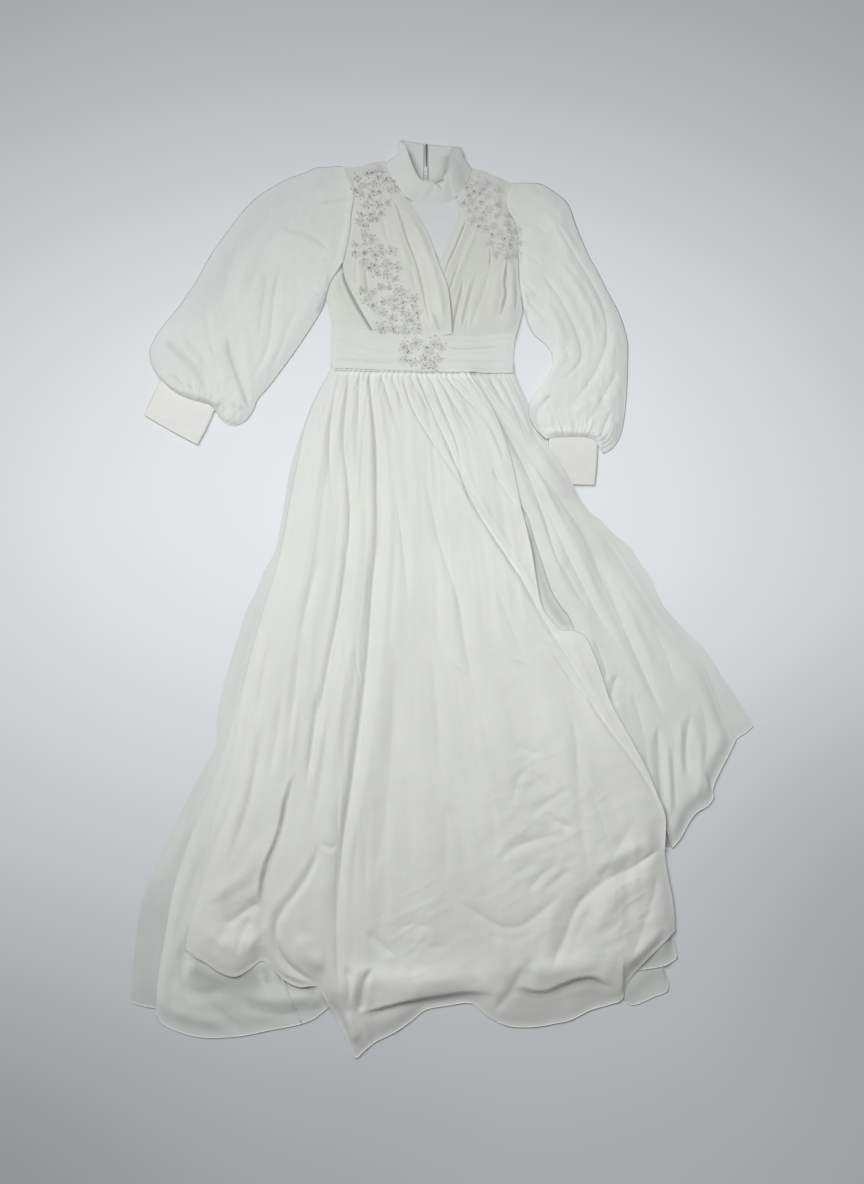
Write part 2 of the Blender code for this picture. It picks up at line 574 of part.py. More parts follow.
    def wrap(side):
        outer, vs = rows_of(side)
        edge_rows = WRAP_L_EDGE if side == "left" else WRAP_R_EDGE
        inset = -GAP - 0.0006 if side == "left" else GAP + 0.0006
        base = Z_WRAP_L if side == "left" else Z_WRAP_R
        folds = WRAP_L_FOLDS if side == "left" else WRAP_R_FOLDS
        lines = fold_lines(folds)
        pts, low, high = [], [], []
        for k, v in enumerate(vs):
            e = rest(edge_rows, v, "x", "y")
            e = (e[0] + (inset if v < 0.3 else 0.0), e[1])
            o = outer[k]
            row, lo, hi = [], [], []
            part = min(1.0, 0.25 + v * 1.3) * (1.0 if v < 0.9 else 0.7)
            for top, hem, h in lines:
                u = top + (hem - top) * v
                a, b = (o, e) if side == "left" else (e, o)
                x = a[0] + (b[0] - a[0]) * u
                y = a[1] + (b[1] - a[1]) * u
                if k == 0:
                    y -= 0.001
                if k == len(vs) - 1:
                    y = band_top(x) + GAP
                lift = h * part
                if side == "right":
                    # flat where the left wrap lies on it
                    over = next((p for p in zip(WRAP_L_EDGE, WRAP_L_EDGE[1:]) if p[1].y <= y), (WRAP_L_EDGE[-2], WRAP_L_EDGE[-1]))
                    cover = over[0].x + (over[1].x - over[0].x) * (over[0].y - y) / (over[0].y - over[1].y)
                    lift *= smooth((x - cover - 0.004) / 0.020)
                z = base + HOLLOW * 0.6 * lift
                row.append((x, y))
                lo.append(z)
                hi.append(z + WALL + SWELL * lift)
            pts.append(row)
            low.append(lo)
            high.append(hi)
        slab("front_wrap_" + side, pts, low, high, cloth["outer"])
        return pts, low, high

    left = wrap("left")
    right = wrap("right")

    def lace(name, carrier, rows):
        pts, low, high = carrier
        cells = set()
        start = 0
        for r in rows:
            for i in range(start, min(r.upto, len(pts) - 1)):
                for j in range(r.first, min(r.last, len(pts[0]) - 1)):
                    cells.add((i, j))
            start = r.upto
        lo = [[z + LIFT for z in row] for row in high]
        hi = [[z + LACE for z in row] for row in lo]
        slab(name, pts, lo, hi, cloth["lace"], cells)

    lace("lace_left", left, LACE_L_ROWS)
    lace("lace_right", right, LACE_R_ROWS)

    # waistband: ruched across, so its folds run along it
    us = steps(0, 1, 14)
    vs = steps(0, 1, 5)
    ridge = (0.10, 0.80, 0.25, 1.00, 0.35, 0.10)
    pts, low, high = [], [], []
    for k, v in enumerate(vs):
        row, lo, hi = [], [], []
        for u in us:
            x = -0.2055 + 0.3195 * u
            xt = x * (1 - v) + (x - 0.003 * (u - 0.5)) * v
            y = (band_top(x) - GAP) * (1 - v) + (band_bottom(x) + GAP) * v
            lift = ridge[k] * (0.55 + 0.45 * math.cos(2 * math.pi * (u - 0.5)) * -1)
            z = Z_BAND + HOLLOW * 0.7 * lift
            row.append((xt, y))
            lo.append(z)
            hi.append(z + WALL + SWELL * lift)
        pts.append(row)
        low.append(lo)
        high.append(hi)
    slab("waistband_front", pts, low, high, cloth["outer"])
    lo = [[z + LIFT for z in row] for row in high]
    hi = [[z + LACE for z in row] for row in lo]
    slab("lace_waist", pts, lo, hi, cloth["lace"], {(i, j) for i in range(5) for j in range(5, 9)})

    for side, x0, x1 in (("left", -0.205, CB - ZIP_HALF - GAP), ("right", CB + ZIP_HALF + GAP, 0.112)):
        flat_slab("waistband_back_" + side,
                  lambda u, v: (x0 + (x1 - x0) * u,
                                (band_top(x0 + (x1 - x0) * u) - GAP) * (1 - v)
                                + (band_bottom(x0 + (x1 - x0) * u) + GAP) * v),
                  steps(0, 1, 6), [0, 0.5, 1.0], 0.0, cloth["outer"])


def collar(cloth):
    n = 2 * (len(COLLAR) - 1)
    keyed = table("k sx sy sz tx ty tz", *[(i, *r) for i, r in enumerate(COLLAR)])
    rows = 3
    grid = []
    for a in range(n + 1):
        sx, sy, sz, tx, ty, tz = rest(keyed, a / 2, "sx", "sy", "sz", "tx", "ty", "tz")
        col = []
        for b in range(rows + 1):
            f = b / rows
            bulge = 0.0012 * math.sin(math.pi * f) * smooth(max(sz, tz) / 0.010)
            col.append(Vector((sx + (tx - sx) * f, sy + (ty - sy) * f, max(0.0, sz + (tz - sz) * f + bulge))))
        grid.append(col)
    inner = []
    for a in range(n + 1):
        col = []
        for b in range(rows + 1):
            da = grid[min(a + 1, n)][b] - grid[max(a - 1, 0)][b]
            db = grid[a][min(b + 1, rows)] - grid[a][max(b - 1, 0)]
            nrm = da.cross(db).normalized()
            col.append(grid[a][b] + nrm * COLLAR_WALL)
        inner.append(col)
    mid = inner[0][1] - grid[0][1]
    if mid.z < 0:
        inner = [[g * 2 - p for g, p in zip(gc, pc)] for gc, pc in zip(grid, inner)]
    verts = [tuple(p) for c in grid for p in c] + [tuple(p) for c in inner for p in c]
    m = rows + 1
    o = lambda a, b: a * m + b
    q = lambda a, b: (n + 1) * m + a * m + b
    faces = []
    for a in range(n):
        for b in range(rows):
            faces += [(o(a, b), o(a + 1, b), o(a + 1, b + 1)), (o(a, b), o(a + 1, b + 1), o(a, b + 1)),
                      (q(a, b), q(a + 1, b + 1), q(a + 1, b)), (q(a, b), q(a, b + 1), q(a + 1, b + 1))]
        for b in (0, rows):
            w = [(o(a, b), q(a, b), q(a + 1, b)), (o(a, b), q(a + 1, b), o(a + 1, b))]
            faces += w if b == 0 else [f[::-1] for f in w]
    for b in range(rows):
        for a in (0, n):
            w = [(o(a, b), o(a, b + 1), q(a, b + 1)), (o(a, b), q(a, b + 1), q(a, b))]
            faces += w if a == 0 else [f[::-1] for f in w]
    ob = finish("collar", verts, faces, cloth["outer"])
    outward(ob)


def sleeves(cloth):
    def tube(name, side, rows, folds):
        lines = fold_lines(folds)
        gap = -GAP if side == "left" else GAP
        outer, inner = [], []
        ss = [r.s for r in rows]
        for k, s in enumerate(ss):
            r = rows[k]
            part = rest(SLEEVE_SWELL, s, "part")
            top_o, bot_o, top_i, bot_i = [], [], [], []
            n = len(lines)
            for j, (cap, cuff, h) in enumerate(lines):
                f = cap + (cuff - cap) * s
                if k == 0:
                    x, y = armhole(side, f)
                    x += gap
                else:
                    bow = (1 - s) ** 2 * ARMHOLE_BOW * 4 * f * (1 - f) * (1 if side == "left" else -1)
                    x, y = r.ox + (r.ix - r.ox) * f + bow, r.oy + (r.iy - r.oy) * f
                    y += r.rise * (f / 0.8 if f < 0.8 else (1 - f) / 0.2)
                e = Vector((r.ix - r.ox, r.iy - r.oy)).normalized() * WALL
                lift = h * part
                # each wall's edge turns in at the fold
                crown = smooth(min(f, 1 - f) / 0.12)
                zt = 2 * WALL + 0.0008 + HOLLOW * 0.9 * (0.35 * crown + 0.65 * lift) * part + SWELL * lift
                ti = zt - WALL - SWELL * lift
                bot_o.append((x, y, 0.0))
                top_o.append((x, y, zt))
                dx, dy = (e.x, e.y) if j == 0 else (-e.x, -e.y) if j == n - 1 else (0.0, 0.0)
                bot_i.append((x + dx, y + dy, WALL))
                top_i.append((x + dx, y + dy, ti))
            outer.append(bot_o + top_o[::-1])
            inner.append(bot_i + top_i[::-1])
        loft(name, outer, inner, cloth["sleeve"])

    tube("sleeve_left", "left", SLEEVE_L, SLEEVE_FOLDS)
    tube("sleeve_right", "right", SLEEVE_R, SLEEVE_FOLDS)

    def cuff(name, c, seam):
        tl, tr, br, bl = [Vector((p.x, p.y)) for p in c]
        down = (bl - tl).normalized()
        outer, inner = [], []
        for v in (0.0, 0.5, 1.0):
            a, b = tl.lerp(bl, v) + down * seam * (1 - v), tr.lerp(br, v) + down * seam * (1 - v)
            e = (b - a).normalized() * WALL
            us = steps(0, 1, 4)
            po = [a.lerp(b, u) for u in us]
            pi = [p + (e if k == 0 else -e if k == 4 else e * 0) for k, p in enumerate(po)]
            outer.append([(p.x, p.y, 0.0) for p in po] + [(p.x, p.y, CUFF_TOP) for p in po[::-1]])
            inner.append([(p.x, p.y, WALL) for p in pi] + [(p.x, p.y, WALL + CUFF_HOLLOW) for p in pi[::-1]])
        loft(name, outer, inner, cloth["cuff"])

    cuff("cuff_left", CUFF_L, 0.0006)
    cuff("cuff_right", CUFF_R, 0.0006)


def zip_parts(metal, tape):
    """Coil strip with two open arms, slider and pull tab at centre back."""
    z0, z1 = 0.0001, 0.0011
    w = ZIP_HALF
    arm = 0.0014
    top = 0.7675
    y_in = SLIDER_Y + 0.001
    left_top, right_top = -0.0487 + GAP, -0.0377 - GAP
    plan = [(CB - w, ZIP_END + 0.001), (CB + w, ZIP_END + 0.001), (CB + w, 0.7085), (CB + w + 0.0008, y_in),
            (right_top, top), (right_top - arm, top), (CB + 0.0006, y_in),
            (CB - 0.0006, y_in), (left_top + arm, top), (left_top, top), (CB - w - 0.0008, y_in), (CB - w, 0.7085)]
    n = len(plan)
    verts = [(x, y, z0) for x, y in plan] + [(x, y, z1) for x, y in plan]
    strips = [(0, 1, 2, 11), (11, 2, 3, 10), (3, 4, 5, 6), (10, 3, 6, 7), (10, 7, 8, 9)]
    faces = []
    for s in strips:
        faces.append(tuple(s[::-1]))
        faces.append(tuple(k + n for k in s))
    for k in range(n):
        m = (k + 1) % n
        faces.append((k, m, m + n, k + n))
    ob = finish("zip_tape", verts, faces, tape)
    outward(ob)

    # slider: a tapered block with a loop bridge that holds the pull
    ring = [(-0.0028, -0.0045), (0.0028, -0.0045), (0.0036, 0.0030), (0.0020, 0.0045), (-0.0020, 0.0045), (-0.0036, 0.0030)]
    verts, faces = [], []
    for z, k in ((0.0020, 1.0), (0.0034, 1.0), (0.0040, 0.82)):
        verts += [(CB + x * k, SLIDER_Y + 0.001 + y * k, z) for x, y in ring]
    n = len(ring)
    for r in range(2):
        for k in range(n):
            m = (k + 1) % n
            faces.append((r * n + k, r * n + m, (r + 1) * n + m, (r + 1) * n + k))
    faces.append(tuple(range(n))[::-1])
    faces.append(tuple(range(2 * n, 3 * n)))
    ob = finish("zip_slider", verts, faces, metal)
    outward(ob)

    # pull tab: a flat drop with a round eye, its origin on the hinge axis
    outline, eye = [], []
    count = 20
    for k in range(count):
        a = 2 * math.pi * k / count
        s, c = math.sin(a), math.cos(a)
        y = -PULL_LENGTH / 2 + PULL_LENGTH / 2 * c
        wide = PULL_WIDTH / 2 * (0.42 + 0.58 * smooth(-y / PULL_LENGTH * 1.25))
        outline.append((wide * s, y + 0.0008))
        eye.append((0.0014 * s, -PULL_LENGTH * 0.72 + 0.0026 * c))
    t = 0.0010
    verts = ([(x, y, -t / 2) for x, y in outline] + [(x, y, t / 2) for x, y in outline]
             + [(x, y, -t / 2) for x, y in eye] + [(x, y, t / 2) for x, y in eye])
    faces = []
    for k in range(count):
        m = (k + 1) % count
        faces += [(k, m, count + m, count + k),
                  (2 * count + k, 3 * count + k, 3 * count + m, 2 * count + m),
                  (k, 2 * count + k, 2 * count + m, m),
                  (count + k, count + m, 3 * count + m, 3 * count + k)]
    ob = finish("zip_pull", verts, faces, metal, HINGE)
    outward(ob)


def main():
    clear()
    cloth = {
        "outer": material("chiffon", (0.80, 0.81, 0.78), 0.85),
        "lining": material("chiffon_inner", (0.74, 0.75, 0.73), 0.85),
        "sleeve": material("chiffon_sheer", (0.76, 0.78, 0.77), 0.85),
        "cuff": material("crepe", (0.84, 0.84, 0.80), 0.75),
        "lace": material("lace", (0.83, 0.83, 0.80), 0.70),
    }
    metal = material("zip_metal", (0.62, 0.63, 0.64), 0.30, 1.0)
    tape = material("zip_tape", (0.80, 0.80, 0.78), 0.60)
    skirt(cloth)
    bodice(cloth)
    collar(cloth)
    sleeves(cloth)
    zip_parts(metal, tape)


main()
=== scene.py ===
import bpy
import math
import numpy as np
from mathutils import Matrix, Vector


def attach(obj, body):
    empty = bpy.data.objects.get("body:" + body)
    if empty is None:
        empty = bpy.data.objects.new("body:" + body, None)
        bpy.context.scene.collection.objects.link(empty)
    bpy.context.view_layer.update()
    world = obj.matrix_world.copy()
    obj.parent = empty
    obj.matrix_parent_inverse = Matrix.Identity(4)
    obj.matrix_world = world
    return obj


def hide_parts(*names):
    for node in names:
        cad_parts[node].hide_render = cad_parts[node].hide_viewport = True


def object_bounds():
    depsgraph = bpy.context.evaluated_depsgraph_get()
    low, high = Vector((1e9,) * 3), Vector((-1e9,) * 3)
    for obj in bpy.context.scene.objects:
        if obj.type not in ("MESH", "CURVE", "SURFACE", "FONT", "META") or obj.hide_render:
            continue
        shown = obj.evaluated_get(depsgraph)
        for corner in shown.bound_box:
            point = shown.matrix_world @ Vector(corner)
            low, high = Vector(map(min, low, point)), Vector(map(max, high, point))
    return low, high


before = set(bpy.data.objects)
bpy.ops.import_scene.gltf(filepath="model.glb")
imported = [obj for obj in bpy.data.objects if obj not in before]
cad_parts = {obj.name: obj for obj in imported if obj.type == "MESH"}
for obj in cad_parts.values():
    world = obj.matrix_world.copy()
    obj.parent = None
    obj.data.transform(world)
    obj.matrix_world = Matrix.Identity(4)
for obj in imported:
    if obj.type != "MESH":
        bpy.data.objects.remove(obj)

LOW0, HIGH0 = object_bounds()
scene = bpy.context.scene

# ------------------------------------------------------------------ camera
# A phone's 26 mm lens held 1.34 m over the cloth and tipped 14 degrees, from
# the hem's side. Pixel places below are read in the photograph's own frame,
# 864 x 1184, and are carried down to the cloth along that camera's rays.
PX_W, PX_H = 864, 1184
LENS, SENSOR = 26.0, 36.0
F_PX = LENS / SENSOR * PX_H
TILT = math.radians(14.0)
CAM = Vector((-0.0050, -0.4249, 1.3441))


def at(px, py, z=0.0):
    """World x, y of a photograph pixel on the level z."""
    u, t = (px - PX_W / 2) / F_PX, (PX_H / 2 - py) / F_PX
    dy = t * math.cos(TILT) + math.sin(TILT)
    dz = t * math.sin(TILT) - math.cos(TILT)
    k = (z - CAM.z) / dz
    return (CAM.x + u * k, CAM.y + dy * k)


def make_camera():
    scene.view_settings.view_transform = "Standard"
    data = bpy.data.cameras.new("camera")
    data.sensor_width = SENSOR
    data.lens = LENS
    data.clip_end = 30
    cam = bpy.data.objects.new("camera", data)
    cam.location = CAM
    cam.rotation_euler = (TILT, 0, 0)
    scene.collection.objects.link(cam)
    scene.camera = cam


# ------------------------------------------------------------------ curves
def spline(pts, n, power=0.5):
    """n points evenly along a smooth curve through pts."""
    p = np.asarray(pts, float)
    if len(p) == 2:
        t = np.linspace(0, 1, n)[:, None]
        return p[0] * (1 - t) + p[1] * t
    q = np.vstack([2 * p[0] - p[1], p, 2 * p[-1] - p[-2]])
    out = []
    for i in range(1, len(q) - 2):
        a, b, c, d = q[i - 1:i + 3]
        t0 = 0.0
        t1 = t0 + max(np.linalg.norm(b - a), 1e-9) ** power
        t2 = t1 + max(np.linalg.norm(c - b), 1e-9) ** power
        t3 = t2 + max(np.linalg.norm(d - c), 1e-9) ** power
        t = np.linspace(t1, t2, 17)[:, None]
        if i < len(q) - 3:
            t = t[:-1]
        A1 = (t1 - t) / (t1 - t0) * a + (t - t0) / (t1 - t0) * b
        A2 = (t2 - t) / (t2 - t1) * b + (t - t1) / (t2 - t1) * c
        A3 = (t3 - t) / (t3 - t2) * c + (t - t2) / (t3 - t2) * d
        B1 = (t2 - t) / (t2 - t0) * A1 + (t - t0) / (t2 - t0) * A2
        B2 = (t3 - t) / (t3 - t1) * A2 + (t - t1) / (t3 - t1) * A3
        out.append((t2 - t) / (t2 - t1) * B1 + (t - t1) / (t2 - t1) * B2)
    c = np.vstack(out)
    s = np.concatenate([[0], np.cumsum(np.linalg.norm(np.diff(c, axis=0), axis=1))])
    k = np.linspace(0, s[-1], n)
    return np.column_stack([np.interp(k, s, c[:, j]) for j in range(c.shape[1])])


def px_line(pts, n, z=0.0):
    return spline([at(x, y, z) for x, y in pts], n)


def coons(left, right, top, bottom):
    """Grid of plan points between four edges. left, right: (nv, 2), downwards;
    top, bottom: (nu, 2), to the viewer's right."""
    nv, nu = len(left), len(top)
    u = np.linspace(0, 1, nu)[None, :, None]
    v = np.linspace(0, 1, nv)[:, None, None]
    L, R, T, B = left[:, None], right[:, None], top[None], bottom[None]
    c = ((1 - u) * (1 - v) * T[:, :1] + u * (1 - v) * T[:, -1:] + (1 - u) * v * B[:, :1] + u * v * B[:, -1:])
    return (1 - u) * L + u * R + (1 - v) * T + v * B - c


def smooth(t):
    t = np.clip(t, 0.0, 1.0)
    return t * t * (3 - 2 * t)


def noise(x, y, seed):
    """Smooth value noise, about -1 to 1."""
    rs = np.random.RandomState(seed)
    lat = rs.rand(64, 64) * 2 - 1
    xi, yi = np.floor(x).astype(int), np.floor(y).astype(int)
    fx, fy = x - xi, y - yi
    fx, fy = fx * fx * fx * (fx * (fx * 6 - 15) + 10), fy * fy * fy * (fy * (fy * 6 - 15) + 10)
    a, b = lat[xi % 64, yi % 64], lat[(xi + 1) % 64, yi % 64]
    c, d = lat[xi % 64, (yi + 1) % 64], lat[(xi + 1) % 64, (yi + 1) % 64]
    return (a * (1 - fx) + b * fx) * (1 - fy) + (c * (1 - fx) + d * fx) * fy


def fbm(x, y, seed, octaves=3):
    out, amp = 0.0, 1.0
    for k in range(octaves):
        out = out + amp * noise(x * 2 ** k + 7.3 * k, y * 2 ** k + 3.1 * k, seed + k)
        amp *= 0.5
    return out / 1.75


# ------------------------------------------------------------------ creases
def to_line(P, line):
    """Signed distance of each plan point to a polyline, and how far along it (0..1).
    Positive is the viewer's right of a line that runs down the photograph."""
    a, b = line[:-1], line[1:]
    d = b - a
    seg = np.linalg.norm(d, axis=1)
    start = np.concatenate([[0], np.cumsum(seg)])
    total = start[-1]
    best = np.full(len(P), 1e9)
    sign = np.zeros(len(P))
    along = np.zeros(len(P))
    for k in range(len(a)):
        rel = P - a[k]
        t = np.clip(rel @ d[k] / (seg[k] ** 2 + 1e-12), 0, 1)
        off = rel - t[:, None] * d[k]
        dist = np.hypot(off[:, 0], off[:, 1])
        side = d[k][0] * rel[:, 1] - d[k][1] * rel[:, 0]
        m = dist < best
        best[m] = dist[m]
        sign[m] = np.where(side[m] >= 0, 1.0, -1.0)
        along[m] = (start[k] + t[m] * seg[k]) / total
    return best * sign, along


def creases(P, rows, strength=1.0, tight=1.0):
    """Sum of soft troughs (negative height) and ridges (positive) over plan points.
    Beside a trough the cloth rises into a low crest, more on its wider side.
    A row: points in photograph pixels, height mm, reach in mm to the viewer's right
    and to the left, and the part of its length that each end fades over."""
    z = np.zeros(len(P))
    for pts, height, right, left, fade0, fade1 in rows:
        line = px_line(pts, 8 * len(pts), 0.006)
        lo, hi = line.min(0) - 0.09, line.max(0) + 0.09
        m = np.where((P[:, 0] > lo[0]) & (P[:, 0] < hi[0]) & (P[:, 1] > lo[1]) & (P[:, 1] < hi[1]))[0]
        if not len(m):
            continue
        s, t = to_line(P[m], line)
        narrow = 0.5 + 0.5 * np.minimum(smooth(t / 0.3), smooth((1 - t) / 0.3))
        w = np.where(s > 0, right, left) * 1e-3 * tight * narrow
        grow = np.ones(len(m))
        if fade0 > 0:
            grow *= smooth(t / fade0)
        if fade1 > 0:
            grow *= smooth((1 - t) / fade1)
        r = np.sqrt((s / w) ** 2 + 0.02)
        if height < 0:
            crest = np.where((s > 0) == (right > left), 0.20, 0.08)
            shape = np.exp(-(r - 0.1414)) - crest * np.exp(-((np.abs(s / w) - 2.6) / 1.1) ** 2)
        else:
            shape = np.exp(-(s / w) ** 2)
        # beyond its ends a crease closes quickly
        z[m] += strength * height * 1e-3 * shape * grow
    return z


def softer(rows, height, width):
    """The same creases, lower and wider."""
    return [(pts, h * height, right * width, left * width, f0, f1) for pts, h, right, left, f0, f1 in rows]


def laps(P, rows):
    """Folds that lie over the next one: the cloth rises to the line on its high side
    and drops behind it. A row: points, rise mm (positive: high on the viewer's left of
    a line that runs down, or below a line that runs to the right), reach mm on the
    high side and on the low side, fades."""
    z = np.zeros(len(P))
    for pts, rise, high, low, fade0, fade1 in rows:
        line = px_line(pts, 8 * len(pts), 0.006)
        lo, hi = line.min(0) - 0.10, line.max(0) + 0.10
        m = np.where((P[:, 0] > lo[0]) & (P[:, 0] < hi[0]) & (P[:, 1] > lo[1]) & (P[:, 1] < hi[1]))[0]
        s, t = to_line(P[m], line)
        s = s * -np.sign(rise)
        k = 0.5 * (1 + np.tanh(s / 0.0010))
        a = np.abs(s) * 1e3
        grow = (smooth(t / fade0) if fade0 > 0 else 1.0) * (smooth((1 - t) / fade1) if fade1 > 0 else 1.0)
        z[m] += abs(rise) * 1e-3 * grow * (k * np.exp(-(a / high) ** 1.4) - 0.5 * (1 - k) * np.exp(-a / low))
    return z


def paint_shade(ob, P, rows, base=0.0, level=0.006):
    """Painted shade: how much darker the cloth's colour is made along the bottoms of folds, in gaps,
    in hollows under its neighbours and where it lies single over the shaded floor, or, with a
    negative amount, painted light, lighter where more layers lie together."""
    d = np.full(len(P), float(base))
    more = np.zeros(len(P))
    for pts, amount, right, left, fade0, fade1 in rows:
        line = px_line(pts, 8 * len(pts), level)
        lo, hi = line.min(0) - 0.08, line.max(0) + 0.08
        m = np.where((P[:, 0] > lo[0]) & (P[:, 0] < hi[0]) & (P[:, 1] > lo[1]) & (P[:, 1] < hi[1]))[0]
        s, t = to_line(P[m], line)
        w = np.where(s > 0, right, left) * 1e-3
        grow = (smooth(t / fade0) if fade0 > 0 else 1.0) * (smooth((1 - t) / fade1) if fade1 > 0 else 1.0)
        put = amount * grow * np.exp(-np.abs(s / w) ** 1.6)
        if amount > 0:
            d[m] = np.maximum(d[m], put)
        else:
            more[m] = np.minimum(more[m], put)
    tint(ob, np.clip(d + more, -0.15, 0.8), "painted_shade")


# ------------------------------------------------------------------ the pile
# Highest cloth so far over every place of the floor, on a 2 mm raster. Each
# piece is laid on what is already there.
CELL = 0.002
X0, Y0 = LOW0.x - 0.06, LOW0.y - 0.06
NX = int((HIGH0.x - LOW0.x + 0.12) / CELL) + 1
NY = int((HIGH0.y - LOW0.y + 0.12) / CELL) + 1
pile = np.zeros((NX, NY))


def spread(a, r):
    """Largest value within r cells."""
    for axis in (0, 1):
        out = a.copy()
        for k in range(1, r + 1):
            for s in (k, -k):
                out = np.maximum(out, np.roll(a, s, axis))
        a = out
    return a


def blur(a, sigma):
    r = max(1, int(round(sigma * 2.5)))
    w = np.exp(-0.5 * (np.arange(-r, r + 1) / sigma) ** 2)
    w /= w.sum()
    for axis in (0, 1):
        a = sum(wk * np.roll(a, k, axis) for k, wk in zip(range(-r, r + 1), w))
    return a


def sample(a, P):
    x = np.clip((P[:, 0] - X0) / CELL, 0, NX - 1.001)
    y = np.clip((P[:, 1] - Y0) / CELL, 0, NY - 1.001)
    i, j = x.astype(int), y.astype(int)
    fx, fy = x - i, y - j
    return (a[i, j] * (1 - fx) * (1 - fy) + a[i + 1, j] * fx * (1 - fy)
            + a[i, j + 1] * (1 - fx) * fy + a[i + 1, j + 1] * fx * fy)


def ground_under(P, reach=3, soft=2.5):
    return sample(blur(spread(pile, reach), soft), P)


def lay_down(P, z):
    """Adds a piece's top to the pile. Its points stand closer than two cells."""
    global pile
    fresh = np.zeros_like(pile)
    i = np.clip(np.round((P[:, 0] - X0) / CELL).astype(int), 0, NX - 1)
    j = np.clip(np.round((P[:, 1] - Y0) / CELL).astype(int), 0, NY - 1)
    np.maximum.at(fresh, (i, j), z)
    filled = spread(fresh, 2)
    fresh = np.where(fresh > 0, fresh, filled)
    pile = np.maximum(pile, fresh)


# ------------------------------------------------------------------ meshes
def new_object(name, verts, faces, smooth_it=True):
    me = bpy.data.meshes.new(name)
    verts = np.asarray(verts, np.float32)
    me.vertices.add(len(verts))
    me.vertices.foreach_set("co", verts.ravel())
    if isinstance(faces, np.ndarray):
        n, k = faces.shape
        me.loops.add(n * k)
        me.loops.foreach_set("vertex_index", faces.astype(np.int32).ravel())
        me.polygons.add(n)
        me.polygons.foreach_set("loop_start", np.arange(0, n * k, k, dtype=np.int32))
    else:
        flat = [i for f in faces for i in f]
        me.loops.add(len(flat))
        me.loops.foreach_set("vertex_index", np.asarray(flat, np.int32))
        me.polygons.add(len(faces))
        starts = np.concatenate([[0], np.cumsum([len(f) for f in faces])[:-1]]).astype(np.int32)
        me.polygons.foreach_set("loop_start", starts)
    me.update(calc_edges=True)
    me.validate()
    if smooth_it:
        me.shade_smooth()
    ob = bpy.data.objects.new(name, me)
    scene.collection.objects.link(ob)
    return ob


def grid_faces(nv, nu, wrap=False):
    i = np.arange(nv - 1)[:, None]
    j = np.arange(nu if wrap else nu - 1)[None, :]
    a = i * nu + j
    b = (i + 1) * nu + j
    c = (i + 1) * nu + (j + 1) % nu
    d = i * nu + (j + 1) % nu
    return np.stack([a, b, c, d], -1).reshape(-1, 4)


def tint(ob, values, name="dens"):
    """A number per vertex that the materials read: as dens, how dense the cloth looks; as
    painted_shade, painted shade and painted light on the cloth; as shade, the beads' painted glints.
    """
    att = ob.data.attributes.new(name, "FLOAT", "POINT")
    att.data.foreach_set("value", np.asarray(values, np.float32).ravel())


def sheet_mesh(name, grid, z, dens=None, split=False):
    nv, nu = grid.shape[:2]
    verts = np.column_stack([grid.reshape(-1, 2), z.ravel()])
    faces = grid_faces(nv, nu)
    if split:
        # no face joins the edge's two rows of corners
        faces = np.delete(faces, slice((nv - 3) * (nu - 1), (nv - 2) * (nu - 1)), axis=0)
    ob = new_object(name, verts, faces)
    tint(ob, np.ones(len(verts)) if dens is None else dens)
    return ob


def join_parts(parts):
    vs, fs, n = [], [], 0
    for v, f in parts:
        vs.append(v)
        fs.append(f + n)
        n += len(v)
    return np.vstack(vs), np.vstack(fs)


def tube(path, radius, sides=6, caps=True):
    """Quads round a polyline of 3-D points."""
    p = np.asarray(path, float)
    n = len(p)
    d = np.gradient(p, axis=0)
    d /= np.linalg.norm(d, axis=1)[:, None] + 1e-12
    up = np.tile([0.0, 0.0, 1.0], (n, 1))
    a = np.cross(d, up)
    a /= np.linalg.norm(a, axis=1)[:, None] + 1e-12
    b = np.cross(a, d)
    ang = np.linspace(0, 2 * np.pi, sides, endpoint=False)
    r = np.broadcast_to(np.asarray(radius, float), (n,))[:, None, None]
    ring = p[:, None] + r * (np.cos(ang)[None, :, None] * a[:, None] + np.sin(ang)[None, :, None] * b[:, None])
    f = grid_faces(n, sides, wrap=True)
    v = ring.reshape(-1, 3)
    if caps:
        v = np.vstack([v, p[0], p[-1]])
        k = np.arange(sides)
        c0, c1 = n * sides, n * sides + 1
        e = (n - 1) * sides
        f0 = np.column_stack([np.full(sides, c0), k, (k + 1) % sides, (k + 1) % sides])
        f1 = np.column_stack([np.full(sides, c1), e + (k + 1) % sides, e + k, e + k])
        return v, f, np.vstack([f0, f1])
    return v, f, None


def tube_object(name, paths, radius, sides=6):
    verts, faces, n = [], [], 0
    for p in paths:
        v, f, caps = tube(p, radius, sides)
        faces += (f + n).tolist()
        faces += [[a + n, b + n, c + n] for a, b, c, _ in caps.tolist()]
        verts.append(v)
        n += len(v)
    return new_object(name, np.vstack(verts), faces)


BODY = "garment"


def dress(ob, mat, slot, *nodes):
    ob.data.materials.append(mat)
    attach(ob, BODY)
    if nodes:
        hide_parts(*nodes)
    return ob


# ------------------------------------------------------------------ materials
def nodes_of(name):
    m = bpy.data.materials.new(name)
    m.use_nodes = True
    nt = m.node_tree
    return m, nt, nt.nodes["Principled BSDF"]


def link(nt, a, b):
    nt.links.new(a, b)


def node(nt, kind, **values):
    n = nt.nodes.new(kind)
    for k, v in values.items():
        if k in n.inputs:
            n.inputs[k].default_value = v
        else:
            setattr(n, k, v)
    return n


